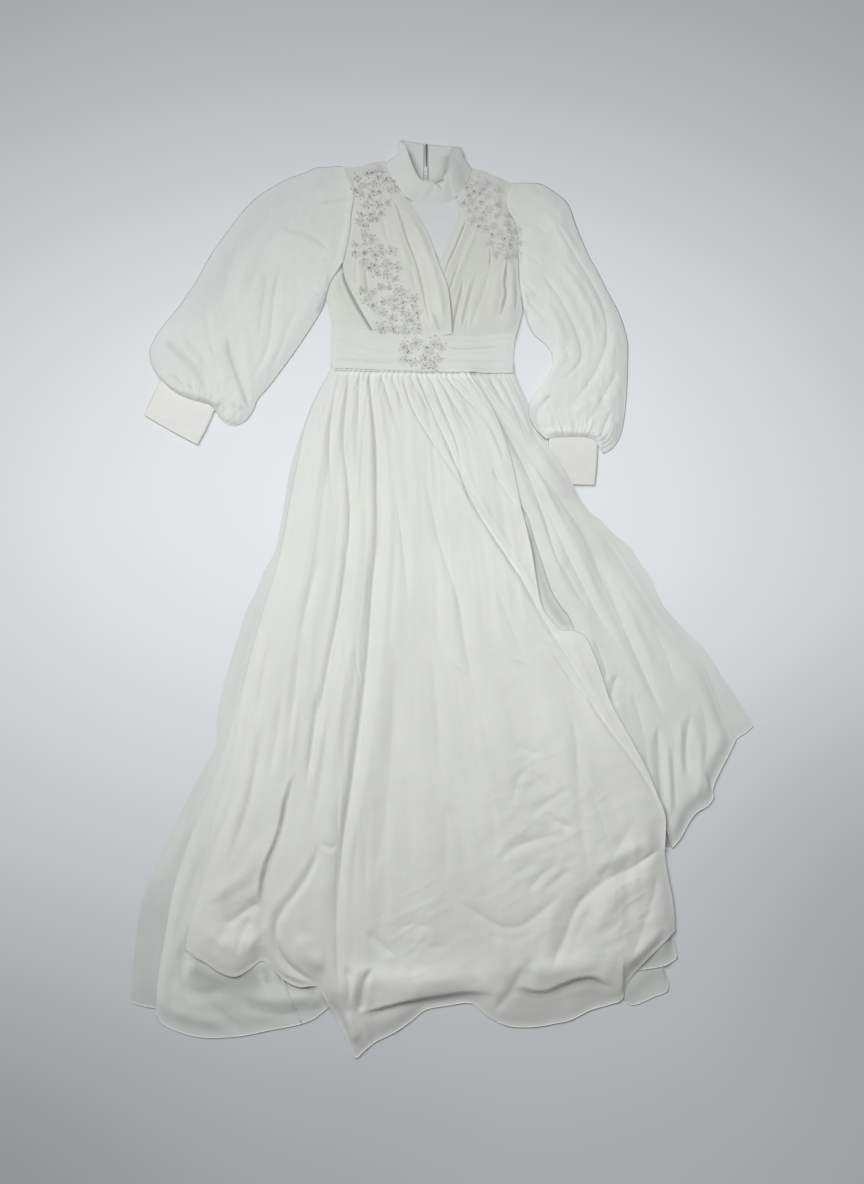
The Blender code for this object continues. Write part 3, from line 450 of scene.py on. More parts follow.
def cloth_material(name, dense, sheer, rough=0.8, weave=0.00045, bump=0.2, crinkle=0.3,
                   sheen=0.35, thread=0.07):
    """Crepe-twisted weave: two thread directions with uneven yarns, a slow
    unevenness of the cloth's own tone, a denser or thinner look by the
    number of layers that lie there, and painted shade and painted light
    from the painted_shade number."""
    m, nt, p = nodes_of(name)
    pos = node(nt, "ShaderNodeTexCoord")
    where = pos.outputs["Object"]
    dens = node(nt, "ShaderNodeAttribute", attribute_name="dens")
    mix = node(nt, "ShaderNodeMix", data_type="RGBA")
    mix.inputs[6].default_value = (*sheer, 1)
    mix.inputs[7].default_value = (*dense, 1)
    link(nt, dens.outputs["Fac"], mix.inputs[0])

    # yarns across and along, slightly wandering
    wander = node(nt, "ShaderNodeTexNoise", Scale=90.0, Detail=2.0)
    link(nt, where, wander.inputs["Vector"])
    off = node(nt, "ShaderNodeVectorMath", operation="MULTIPLY_ADD")
    link(nt, wander.outputs["Color"], off.inputs[0])
    off.inputs[1].default_value = (weave * 1.6,) * 3
    link(nt, where, off.inputs[2])
    waves = []
    for axis in ("X", "Y"):
        w = node(nt, "ShaderNodeTexWave", wave_type="BANDS", bands_direction=axis,
                 Scale=2 * math.pi / weave / 20.0, Distortion=0.6, Detail=1.0)
        w.inputs["Detail Scale"].default_value = 3.0
        link(nt, off.outputs[0], w.inputs["Vector"])
        waves.append(w.outputs["Fac"])
    cross = node(nt, "ShaderNodeMath", operation="MULTIPLY")
    link(nt, waves[0], cross.inputs[0])
    link(nt, waves[1], cross.inputs[1])

    grain = node(nt, "ShaderNodeTexNoise", Scale=1100.0, Detail=3.0, Roughness=0.6)
    link(nt, where, grain.inputs["Vector"])
    slow = node(nt, "ShaderNodeTexNoise", Scale=9.0, Detail=4.0, Roughness=0.55)
    link(nt, where, slow.inputs["Vector"])

    tone = node(nt, "ShaderNodeMapRange")
    tone.inputs["To Min"].default_value = 1.0 - thread
    tone.inputs["To Max"].default_value = 1.0
    link(nt, cross.outputs[0], tone.inputs["Value"])
    tone2 = node(nt, "ShaderNodeMapRange")
    tone2.inputs["From Min"].default_value = 0.3
    tone2.inputs["From Max"].default_value = 0.7
    tone2.inputs["To Min"].default_value = 0.965
    tone2.inputs["To Max"].default_value = 1.02
    link(nt, slow.outputs["Fac"], tone2.inputs["Value"])
    # painted shade: the colour is multiplied by one less the painted_shade number, so a negative number paints light
    painted_shade = node(nt, "ShaderNodeAttribute", attribute_name="painted_shade")
    shade_factor = node(nt, "ShaderNodeMath", operation="SUBTRACT")
    shade_factor.inputs[0].default_value = 1.0
    link(nt, painted_shade.outputs["Fac"], shade_factor.inputs[1])
    prod0 = node(nt, "ShaderNodeMath", operation="MULTIPLY")
    link(nt, tone.outputs[0], prod0.inputs[0])
    link(nt, tone2.outputs[0], prod0.inputs[1])
    prod = node(nt, "ShaderNodeMath", operation="MULTIPLY")
    link(nt, prod0.outputs[0], prod.inputs[0])
    link(nt, shade_factor.outputs[0], prod.inputs[1])
    scale = node(nt, "ShaderNodeVectorMath", operation="SCALE")
    link(nt, mix.outputs[2], scale.inputs[0])
    link(nt, prod.outputs[0], scale.inputs["Scale"])
    link(nt, scale.outputs[0], p.inputs["Base Color"])

    # bump: yarns, crepe grain, and soft crinkle
    b1 = node(nt, "ShaderNodeBump", Strength=bump, Distance=weave * 0.6)
    link(nt, cross.outputs[0], b1.inputs["Height"])
    b2 = node(nt, "ShaderNodeBump", Strength=bump, Distance=0.0003)
    link(nt, grain.outputs["Fac"], b2.inputs["Height"])
    link(nt, b1.outputs[0], b2.inputs["Normal"])
    fold = node(nt, "ShaderNodeTexNoise", Scale=55.0, Detail=3.0, Roughness=0.5)
    link(nt, where, fold.inputs["Vector"])
    b3 = node(nt, "ShaderNodeBump", Strength=crinkle, Distance=0.0016)
    link(nt, fold.outputs["Fac"], b3.inputs["Height"])
    link(nt, b2.outputs[0], b3.inputs["Normal"])
    link(nt, b3.outputs[0], p.inputs["Normal"])

    p.inputs["Roughness"].default_value = rough
    p.inputs["Specular IOR Level"].default_value = 0.22
    p.inputs["Sheen Weight"].default_value = sheen
    p.inputs["Sheen Roughness"].default_value = 0.45
    p.inputs["Sheen Tint"].default_value = (1.0, 1.0, 1.0, 1.0)
    return m


def metal_material(name, colour, rough, metallic=1.0):
    m, nt, p = nodes_of(name)
    pos = node(nt, "ShaderNodeTexCoord")
    g = node(nt, "ShaderNodeTexNoise", Scale=900.0, Detail=3.0)
    link(nt, pos.outputs["Object"], g.inputs["Vector"])
    r = node(nt, "ShaderNodeMapRange")
    r.inputs["To Min"].default_value = rough * 0.8
    r.inputs["To Max"].default_value = rough * 1.4
    link(nt, g.outputs["Fac"], r.inputs["Value"])
    link(nt, r.outputs[0], p.inputs["Roughness"])
    b = node(nt, "ShaderNodeBump", Strength=0.1, Distance=0.0001)
    link(nt, g.outputs["Fac"], b.inputs["Height"])
    link(nt, b.outputs[0], p.inputs["Normal"])
    p.inputs["Base Color"].default_value = (*colour, 1)
    p.inputs["Metallic"].default_value = metallic
    return m


def bead_material(name):
    """Faceted glass beads and sequins with painted reflections: each one's colour
    set dark or bright by its shade number, for how its facets would catch the light.
    """
    m, nt, p = nodes_of(name)
    shade = node(nt, "ShaderNodeAttribute", attribute_name="shade")
    ramp = node(nt, "ShaderNodeValToRGB")
    r = ramp.color_ramp
    r.elements[0].position = 0.0
    r.elements[0].color = (0.035, 0.036, 0.034, 1)
    r.elements[1].position = 1.0
    r.elements[1].color = (1.0, 1.0, 0.98, 1)
    for pos, c in ((0.30, 0.10), (0.45, 0.42), (0.70, 0.72)):
        e = r.elements.new(pos)
        e.color = (c, c, c * 0.97, 1)
    link(nt, shade.outputs["Fac"], ramp.inputs["Fac"])
    pos = node(nt, "ShaderNodeTexCoord")
    v = node(nt, "ShaderNodeTexVoronoi", Scale=2600.0)
    link(nt, pos.outputs["Object"], v.inputs["Vector"])
    b = node(nt, "ShaderNodeBump", Strength=0.5, Distance=0.0002)
    link(nt, v.outputs["Distance"], b.inputs["Height"])
    link(nt, b.outputs[0], p.inputs["Normal"])
    link(nt, ramp.outputs["Color"], p.inputs["Base Color"])
    p.inputs["Metallic"].default_value = 0.0
    p.inputs["Roughness"].default_value = 0.22
    p.inputs["Specular IOR Level"].default_value = 0.4
    p.inputs["Coat Weight"].default_value = 0.15
    p.inputs["Coat Roughness"].default_value = 0.05
    return m


def floor_material():
    m, nt, p = nodes_of("floor_paper")
    pos = node(nt, "ShaderNodeTexCoord")
    n = node(nt, "ShaderNodeTexNoise", Scale=2.2, Detail=3.0)
    link(nt, pos.outputs["Object"], n.inputs["Vector"])
    ramp = node(nt, "ShaderNodeValToRGB")
    ramp.color_ramp.elements[0].position = 0.35
    ramp.color_ramp.elements[0].color = (*FLOOR, 1)
    ramp.color_ramp.elements[1].position = 0.65
    ramp.color_ramp.elements[1].color = (FLOOR[0] * 1.02, FLOOR[1] * 1.015, FLOOR[2] * 1.01, 1)
    link(nt, n.outputs["Fac"], ramp.inputs["Fac"])
    # painted shade: the floor's colour is a little darker towards its near end
    xyz = node(nt, "ShaderNodeSeparateXYZ")
    link(nt, pos.outputs["Object"], xyz.inputs[0])
    near = node(nt, "ShaderNodeMapRange")
    near.interpolation_type = "SMOOTHSTEP"
    for k, v in (("From Min", -0.95), ("From Max", 0.10), ("To Min", 0.82), ("To Max", 1.0)):
        near.inputs[k].default_value = v
    link(nt, xyz.outputs["Y"], near.inputs["Value"])
    # painted pools of shade and light on the floor's colour: centre, radius, tone at the centre
    tone = near.outputs[0]
    for x, y, r, f in ((0.66, -0.50, 0.42, 0.86), (-0.70, -1.00, 0.55, 0.80), (0.30, -1.05, 0.55, 1.12)):
        away = node(nt, "ShaderNodeVectorMath", operation="DISTANCE")
        link(nt, pos.outputs["Object"], away.inputs[0])
        away.inputs[1].default_value = (x, y, 0.0)
        painted_pool = node(nt, "ShaderNodeMapRange")
        painted_pool.interpolation_type = "SMOOTHSTEP"
        for k, v in (("From Min", 0.0), ("From Max", r), ("To Min", f), ("To Max", 1.0)):
            painted_pool.inputs[k].default_value = v
        link(nt, away.outputs["Value"], painted_pool.inputs["Value"])
        both = node(nt, "ShaderNodeMath", operation="MULTIPLY")
        link(nt, tone, both.inputs[0])
        link(nt, painted_pool.outputs[0], both.inputs[1])
        tone = both.outputs[0]
    dim = node(nt, "ShaderNodeVectorMath", operation="SCALE")
    link(nt, ramp.outputs["Color"], dim.inputs[0])
    link(nt, tone, dim.inputs["Scale"])
    link(nt, dim.outputs[0], p.inputs["Base Color"])
    g = node(nt, "ShaderNodeTexNoise", Scale=700.0, Detail=2.0)
    link(nt, pos.outputs["Object"], g.inputs["Vector"])
    b = node(nt, "ShaderNodeBump", Strength=0.05, Distance=0.0004)
    link(nt, g.outputs["Fac"], b.inputs["Height"])
    link(nt, b.outputs[0], p.inputs["Normal"])
    p.inputs["Roughness"].default_value = 0.72
    p.inputs["Specular IOR Level"].default_value = 0.25
    return m


FLOOR = (0.785, 0.815, 0.83)
CHIFFON = cloth_material("chiffon", (0.79, 0.80, 0.755), (0.73, 0.765, 0.74), rough=0.78)
BODICE = cloth_material("chiffon_bodice", (0.745, 0.755, 0.705), (0.73, 0.755, 0.735), rough=0.78)
BAND = cloth_material("chiffon_band", (0.765, 0.775, 0.73), (0.75, 0.77, 0.74), rough=0.78)
SLEEVE = cloth_material("chiffon_single", (0.79, 0.81, 0.775), (0.765, 0.795, 0.785), rough=0.80)
YOKE = cloth_material("chiffon_yoke", (0.77, 0.79, 0.78), (0.765, 0.79, 0.785), rough=0.80)
LINING = cloth_material("chiffon_inner", (0.77, 0.785, 0.75), (0.745, 0.76, 0.73), rough=0.82)
CREPE = cloth_material("crepe", (0.86, 0.865, 0.815), (0.82, 0.82, 0.78), rough=0.62, weave=0.0006,
                       bump=0.3, crinkle=0.12, sheen=0.25)
COLLAR = cloth_material("crepe_collar", (0.78, 0.81, 0.77), (0.76, 0.79, 0.75), rough=0.66, weave=0.0006,
                        bump=0.3, crinkle=0.12, sheen=0.25)
THREAD = cloth_material("hem_thread", (0.88, 0.885, 0.86), (0.84, 0.84, 0.83), rough=0.6, weave=0.0008,
                        bump=0.6, crinkle=0.1)
LACE = cloth_material("lace_cord", (0.94, 0.95, 0.92), (0.86, 0.86, 0.84), rough=0.55, weave=0.0007,
                      bump=0.6, crinkle=0.1, sheen=0.2)
# the zip's dark tape: partly its own dark colour, partly painted shade of the gap between the collar halves
TAPE_DARK_GAP_SHADE = cloth_material("zip_cloth", (0.20, 0.20, 0.19), (0.19, 0.19, 0.18), rough=0.85, weave=0.0008, sheen=0.0)
TAPE = cloth_material("zip_woven", (0.74, 0.74, 0.71), (0.7, 0.7, 0.68), rough=0.8, weave=0.0007, sheen=0.1)
METAL = metal_material("zip_metal", (0.93, 0.93, 0.91), 0.40, 0.25)
COIL = metal_material("zip_coil", (0.46, 0.46, 0.44), 0.55, 0.1)
BEADS = bead_material("glass_beads")

# ------------------------------------------------------------------ skirt
WAIST_Y = 371.0          # photograph row of the skirt's seam


def waist_px(x):
    return 371.0 + 0.010 * (x - 333) + 1.6 * math.sin(math.pi * (x - 333) / 180)


def waist_line(x0, x1, n, drop=0.0):
    return px_line([(x, waist_px(x) - 3.0 + drop) for x in np.linspace(x0, x1, 7)], n)


def edge_distance(grid):
    """Metres to the nearest side edge, the waist and the hem, along the grid."""
    nv, nu = grid.shape[:2]
    du = np.linalg.norm(np.diff(grid, axis=1), axis=2)
    cu = np.concatenate([np.zeros((nv, 1)), np.cumsum(du, axis=1)], axis=1)
    dv = np.linalg.norm(np.diff(grid, axis=0), axis=2)
    cv = np.concatenate([np.zeros((1, nu)), np.cumsum(dv, axis=0)], axis=0)
    return cu, cu[:, -1:] - cu, cv, cv[-1:] - cv


def gathers(u, v_m, count, seed, depth=0.0022, reach=0.05):
    """Small uneven gathers that run out from a seam. u 0..1 across, v_m metres from the seam."""
    ph = u * count + 0.9 * noise(u * count * 0.35, u * 0 + 0.5, seed) + 0.25 * noise(u * count, v_m / 0.03, seed + 3)
    wave = np.abs(np.sin(math.pi * ph)) ** 0.75 - 0.62
    own = 0.55 + 0.75 * (noise(np.floor(ph) * 1.7, u * 0, seed + 9) * 0.5 + 0.5)
    length = reach * (0.5 + 1.1 * (noise(np.floor(ph) * 2.3, u * 0 + 4.0, seed + 5) * 0.5 + 0.5))
    return depth * own * wave * np.exp(-v_m / length) * smooth(v_m / 0.004)


MAIN_LEFT = [(334, 367), (315, 403), (305, 430), (297, 470), (290, 505), (283, 545), (274, 580), (263, 615),
             (252, 655), (243, 692), (236, 735), (226, 780), (214, 822), (205, 862), (197, 900), (190, 930), (187, 948)]
MAIN_RIGHT = [(466, 370), (486, 402), (500, 430), (511, 465), (521, 512), (530, 550), (535, 580), (541, 608),
              (549, 620), (559, 630), (572, 632), (582, 637), (592, 656), (601, 681), (608, 702), (620, 725),
              (633, 748), (645, 771), (656, 797), (663, 815), (664, 853), (668, 880), (672, 900), (675, 930)]
MAIN_HEM = [(187, 948), (196, 956), (207, 962), (220, 971), (236, 976), (250, 969), (263, 960), (272, 966),
            (285, 979), (300, 986), (318, 986), (326, 1000), (335, 1016), (345, 1036), (355, 1058), (364, 1051), (375, 1042),
            (395, 1032), (412, 1020), (425, 1010), (450, 1005), (470, 1003), (480, 1010), (490, 1018), (510, 1026),
            (525, 1027), (540, 1026), (556, 1023), (570, 1020), (590, 1010), (610, 1004), (622, 999), (625, 985),
            (645, 960), (675, 930)]
UNDER_LEFT = [(459, 370), (482, 405), (500, 450), (512, 485), (521, 508), (527, 518), (534, 541), (541, 562),
              (551, 592), (560, 607), (569, 619), (576, 640), (582, 665), (592, 700), (610, 745), (640, 790),
              (662, 822), (672, 848)]
UNDER_RIGHT = [(512, 370), (519, 388), (526, 405), (541, 441), (554, 459), (565, 476), (573, 493), (588, 514),
               (602, 530), (622, 558), (640, 588), (658, 615), (680, 640), (700, 664), (714, 695), (722, 718),
               (735, 740)]
UNDER_HEM = [(672, 848), (680, 838), (690, 820), (697, 812), (707, 806), (713, 797), (712, 790), (720, 770),
             (727, 757), (735, 740)]
BACK_LEFT = [(332, 367), (314, 400), (304, 425), (297, 445), (290, 470), (286, 495), (279, 535), (275, 552),
             (264, 572), (257, 590), (247, 610), (239, 635), (231, 660), (224, 685), (217, 720), (216, 746),
             (205, 766), (187, 800), (175, 825), (157, 865), (143, 900), (138, 925), (133, 975), (131, 1002)]
BACK_LEFT_HEM = [(131, 1002), (140, 1005), (156, 1008), (190, 1012), (240, 1010), (300, 1000), (360, 1000), (432, 990)]
BACK_RIGHT = [(514, 370), (521, 388), (529, 405), (543, 440), (556, 458), (567, 475), (576, 492), (590, 512),
              (600, 520), (615, 535), (630, 548), (640, 563), (650, 578), (663, 605), (683, 628), (703, 648),
              (722, 677), (745, 712), (753, 726)]
BACK_RIGHT_HEM = [(432, 990), (500, 990), (560, 985), (610, 984), (626, 1002), (632, 1005), (655, 996), (668, 990),
                  (663, 965), (655, 900), (655, 850), (673, 846), (680, 838), (690, 818), (697, 810), (707, 803),
                  (712, 790), (720, 768), (727, 755), (736, 739), (745, 733), (753, 726)]
LINING_LEFT = [(338, 367), (318, 410), (306, 450), (297, 500), (287, 545), (270, 600), (254, 650), (240, 700),
               (226, 745), (208, 795), (190, 840), (174, 890), (165, 940), (158, 985), (156, 1012)]
LINING_HEM = [(156, 1012), (161, 1022), (175, 1030), (200, 1037), (240, 1036), (270, 1030), (300, 1024),
              (315, 1018), (328, 1008), (370, 990), (440, 985), (520, 980), (600, 972), (635, 970), (650, 968),
              (665, 965), (677, 958)]
LINING_RIGHT = [(478, 370), (500, 430), (520, 480), (536, 515), (556, 560), (575, 600), (592, 640), (608, 690),
                (630, 740), (648, 790), (655, 850), (664, 890), (672, 935), (677, 958)]

# creases: points, height mm, reach right, reach left, fades
MAIN_CREASES = [
    # long folds from the gathers
    ([(350, 372), (347, 400), (344, 440), (348, 480), (350, 515), (347, 560), (340, 610), (332, 650), (324, 690), (313, 745), (307, 805)], -5.4, 6.1, 3.9, 0.03, 0.25),
    ([(360, 372), (359, 410), (358, 455)], -2.4, 3.3, 2.8, 0.05, 0.6),
    ([(370, 372), (372, 400), (376, 440), (377, 490), (378, 535), (373, 590), (369, 650), (362, 710), (353, 775), (343, 845), (338, 925)], -7.7, 7.7, 4.4, 0.02, 0.2),
    ([(381, 374), (389, 400), (396, 425), (401, 448)], -3.2, 3.9, 2.8, 0.05, 0.55),
    ([(402, 376), (412, 408), (428, 436), (446, 462), (470, 500), (500, 545), (526, 588), (551, 632), (574, 668), (603, 722), (638, 770), (662, 810)], -2.9, 3.9, 2.8, 0.03, 0.06),
    ([(418, 376), (432, 410), (449, 448), (462, 480), (474, 505), (500, 548), (541, 601)], -5, 4.4, 3.3, 0.03, 0.3),
    ([(429, 376), (441, 405), (455, 440), (467, 490)], -3.2, 4.4, 2.8, 0.05, 0.35),
    ([(445, 377), (462, 395), (480, 414), (494, 436), (506, 470)], -3.2, 3.9, 2.8, 0.05, 0.35),
    ([(420, 462), (430, 500), (440, 545), (458, 600), (464, 640), (474, 690), (487, 730), (503, 765)], -2.6, 7.2, 5, 0.25, 0.45),
    ([(395, 488), (401, 530), (406, 575), (408, 612)], -2.7, 5.5, 4.4, 0.3, 0.5),
    ([(490, 466), (503, 487), (518, 510)], -2.9, 3.3, 2.8, 0.3, 0.2),
    ([(326, 540), (313, 585), (303, 630), (300, 668)], -2.6, 6.6, 5.5, 0.35, 0.5),
    ([(262, 600), (251, 640), (244, 675), (236, 707)], -1.8, 3.3, 3.3, 0.3, 0.4),
    ([(333, 372), (326, 395), (318, 425), (314, 460)], -2.6, 3.9, 3.3, 0.05, 0.5),
    ([(341, 371), (334, 405), (330, 440), (331, 480), (333, 520)], -2.4, 4.4, 3.3, 0.05, 0.5),
    ([(392, 376), (401, 402), (410, 428)], -2.1, 2.8, 2.2, 0.05, 0.6),
    ([(410, 377), (423, 402), (436, 430)], -1.9, 2.8, 2.2, 0.05, 0.6),
    ([(437, 377), (452, 402), (466, 425), (478, 452)], -2.1, 2.8, 2.2, 0.05, 0.5),
    ([(455, 377), (470, 394), (486, 412)], -2.1, 2.8, 2.2, 0.05, 0.5),
    ([(545, 645), (575, 684), (605, 723), (632, 758), (656, 797)], -2.4, 3.3, 2.8, 0.15, 0.15),
    ([(480, 560), (500, 600), (520, 650), (535, 690)], -1.4, 7.7, 6.6, 0.3, 0.5),
    ([(430, 640), (436, 700), (440, 760), (443, 800)], -1.4, 7.7, 6.6, 0.3, 0.4),
    ([(395, 660), (392, 730), (388, 800), (386, 870)], -1.3, 8.2, 7.2, 0.3, 0.5),
    # drapery at the lower left
    ([(322, 836), (317, 856), (308, 876), (296, 894), (285, 908), (278, 922), (277, 940), (282, 954), (291, 966), (304, 976), (318, 984)], -3.6, 4, 5, 0.2, 0.06),
    ([(340, 770), (338, 850), (337, 900), (338, 960), (341, 1000)], -2.6, 6, 5, 0.3, 0.2),
    ([(252, 915), (244, 932), (238, 955)], -2.4, 7, 6, 0.2, 0.2),
    ([(222, 926), (236, 918), (250, 908), (260, 902)], -2.6, 7, 6, 0.25, 0.1),
    ([(240, 778), (228, 815), (214, 850), (203, 885), (196, 920)], -2.0, 5, 5, 0.3, 0.3),
    ([(262, 720), (258, 760), (250, 800), (238, 838), (224, 875)], -2.4, 6, 5, 0.3, 0.3),
    ([(270, 640), (262, 690), (258, 730)], -2.0, 6, 5, 0.3, 0.4),
    ([(284, 690), (277, 740), (268, 785)], -2.0, 5, 5, 0.3, 0.3),
    ([(318, 690), (313, 740), (306, 790)], -3.4, 5, 4, 0.2, 0.3),
    ([(300, 640), (296, 690), (290, 740)], -2.2, 5, 5, 0.3, 0.3),
    ([(332, 690), (326, 750), (318, 800), (310, 835)], -2.2, 5, 5, 0.3, 0.3),
    ([(322, 840), (330, 848), (338, 843)], -1.6, 3, 3, 0.3, 0.3),
    ([(372, 800), (366, 850), (366, 900)], -1.4, 7, 7, 0.3, 0.3),
    ([(388, 780), (384, 830), (372, 880)], -1.2, 7, 7, 0.3, 0.3),
    ([(364, 928), (374, 938), (386, 948), (396, 958)], -2.4, 5, 5, 0.3, 0.3),
    ([(372, 966), (364, 985), (360, 1012)], -4.4, 4.5, 5, 0.25, 0.1),
    ([(346, 962), (350, 985), (350, 1005)], -2.0, 4, 4, 0.3, 0.3),
    ([(330, 1000), (342, 1020), (351, 1042)], -1.4, 4, 4, 0.3, 0.3),
]
MAIN_CRUMPLES = [
    # crumples at the lower right
    ([(568, 708), (575, 738), (577, 770), (579, 800), (583, 840), (588, 876)], -2.4, 5, 5, 0.2, 0.25),
    ([(512, 744), (528, 751), (546, 757)], -1.5, 4, 4, 0.3, 0.4),
    ([(513, 808), (515, 790), (519, 776), (530, 771)], -1.8, 4, 4, 0.25, 0.25),
    ([(530, 771), (543, 783), (556, 794)], -1.8, 3.5, 3.5, 0.2, 0.3),
    ([(540, 811), (555, 821), (578, 830)], -2.4, 3.5, 3.5, 0.25, 0.3),
    ([(528, 818), (542, 806), (556, 795), (574, 788)], -1.4, 4, 4, 0.3, 0.3),
    ([(497, 863), (507, 852), (520, 845), (541, 838), (562, 834)], -2.8, 4, 4, 0.2, 0.3),
    ([(526, 895), (534, 883), (546, 870), (561, 861)], -2.4, 4, 4, 0.25, 0.3),
    ([(541, 892), (556, 879), (573, 868)], -1.6, 4, 4, 0.3, 0.3),
    ([(508, 876), (522, 869), (538, 860)], -1.2, 4, 4, 0.3, 0.3),
    ([(515, 830), (528, 824), (540, 822)], -1.2, 4, 4, 0.3, 0.3),
    ([(455, 900), (470, 908), (485, 918), (500, 926), (518, 926), (535, 916), (550, 903), (562, 891)], -3.0, 5, 6, 0.25, 0.2),
    ([(480, 930), (500, 938), (520, 938), (538, 928)], -1.6, 5, 5, 0.3, 0.3),
    ([(395, 928), (415, 924), (438, 927)], -1.8, 5, 5, 0.35, 0.35),
    ([(408, 940), (430, 946), (456, 944)], -1.4, 5, 5, 0.35, 0.35),
    ([(662, 848), (646, 858), (630, 868), (605, 880), (589, 892), (578, 905), (570, 922), (562, 942), (555, 958), (548, 975)], -4.4, 5, 8, 0.1, 0.15),
    ([(592, 903), (581, 925), (571, 950)], -2.0, 5, 5, 0.3, 0.3),
    ([(597, 880), (604, 872), (608, 862)], -1.8, 4, 4, 0.3, 0.3),
    ([(658, 868), (652, 898), (642, 928), (631, 960)], -2.6, 6, 6, 0.2, 0.2),
    ([(636, 815), (622, 840), (606, 866)], -1.4, 5, 5, 0.3, 0.3),
    ([(600, 915), (606, 945), (598, 968)], -1.4, 5, 5, 0.3, 0.3),
    ([(445, 800), (447, 840), (448, 882)], -1.6, 5, 5, 0.2, 0.4),
    ([(447, 800), (460, 835), (472, 872)], -1.8, 5, 5, 0.2, 0.4),
    ([(468, 690), (480, 722), (492, 752)], -1.8, 6, 6, 0.3, 0.3),
    ([(490, 790), (494, 830), (494, 868)], -1.2, 6, 6, 0.3, 0.3),
    ([(548, 720), (552, 760), (548, 800)], -1.0, 6, 6, 0.3, 0.3),
    ([(605, 742), (622, 776), (640, 800)], -1.6, 6, 5, 0.3, 0.3),
    ([(524, 962), (519, 976), (512, 990), (503, 1001), (492, 1014)], -3.4, 4, 4, 0.2, 0.25),
    ([(532, 955), (528, 968), (524, 978)], -2.0, 4, 4, 0.3, 0.2),
]
MAIN_LAPS = [
    # the sharp wedge at the left: the fold on its left lies over
    ([(296, 768), (290, 785), (285, 803), (282, 820), (275, 843), (267, 862), (262, 882), (260, 903)], 4.2, 13, 8, 0.2, 0.1),
    # the hook's rolled ridge
    ([(262, 962), (272, 966), (284, 975), (300, 981), (318, 984)], -2.4, 6, 5, 0.2, 0.1),
    # overhang of the long roll above the hem, and its upright at the left
    ([(360, 1014), (378, 1009), (400, 1003), (422, 999), (450, 995), (474, 993), (500, 995)], -4.2, 30, 7, 0.15, 0.3),
    ([(521, 985), (534, 991), (548, 990), (560, 985), (575, 979), (592, 977), (606, 984), (618, 986)], -3.2, 26, 9, 0.12, 0.3),
    ([(344, 515), (347, 560), (341, 610), (333, 650), (325, 700)], -1.6, 12, 6, 0.3, 0.3),
    ([(376, 470), (378, 535), (373, 590), (369, 650), (362, 710)], -2.4, 14, 6, 0.25, 0.3),
    ([(455, 462), (461, 480), (469, 500)], 2.6, 9, 5, 0.3, 0.2),
]
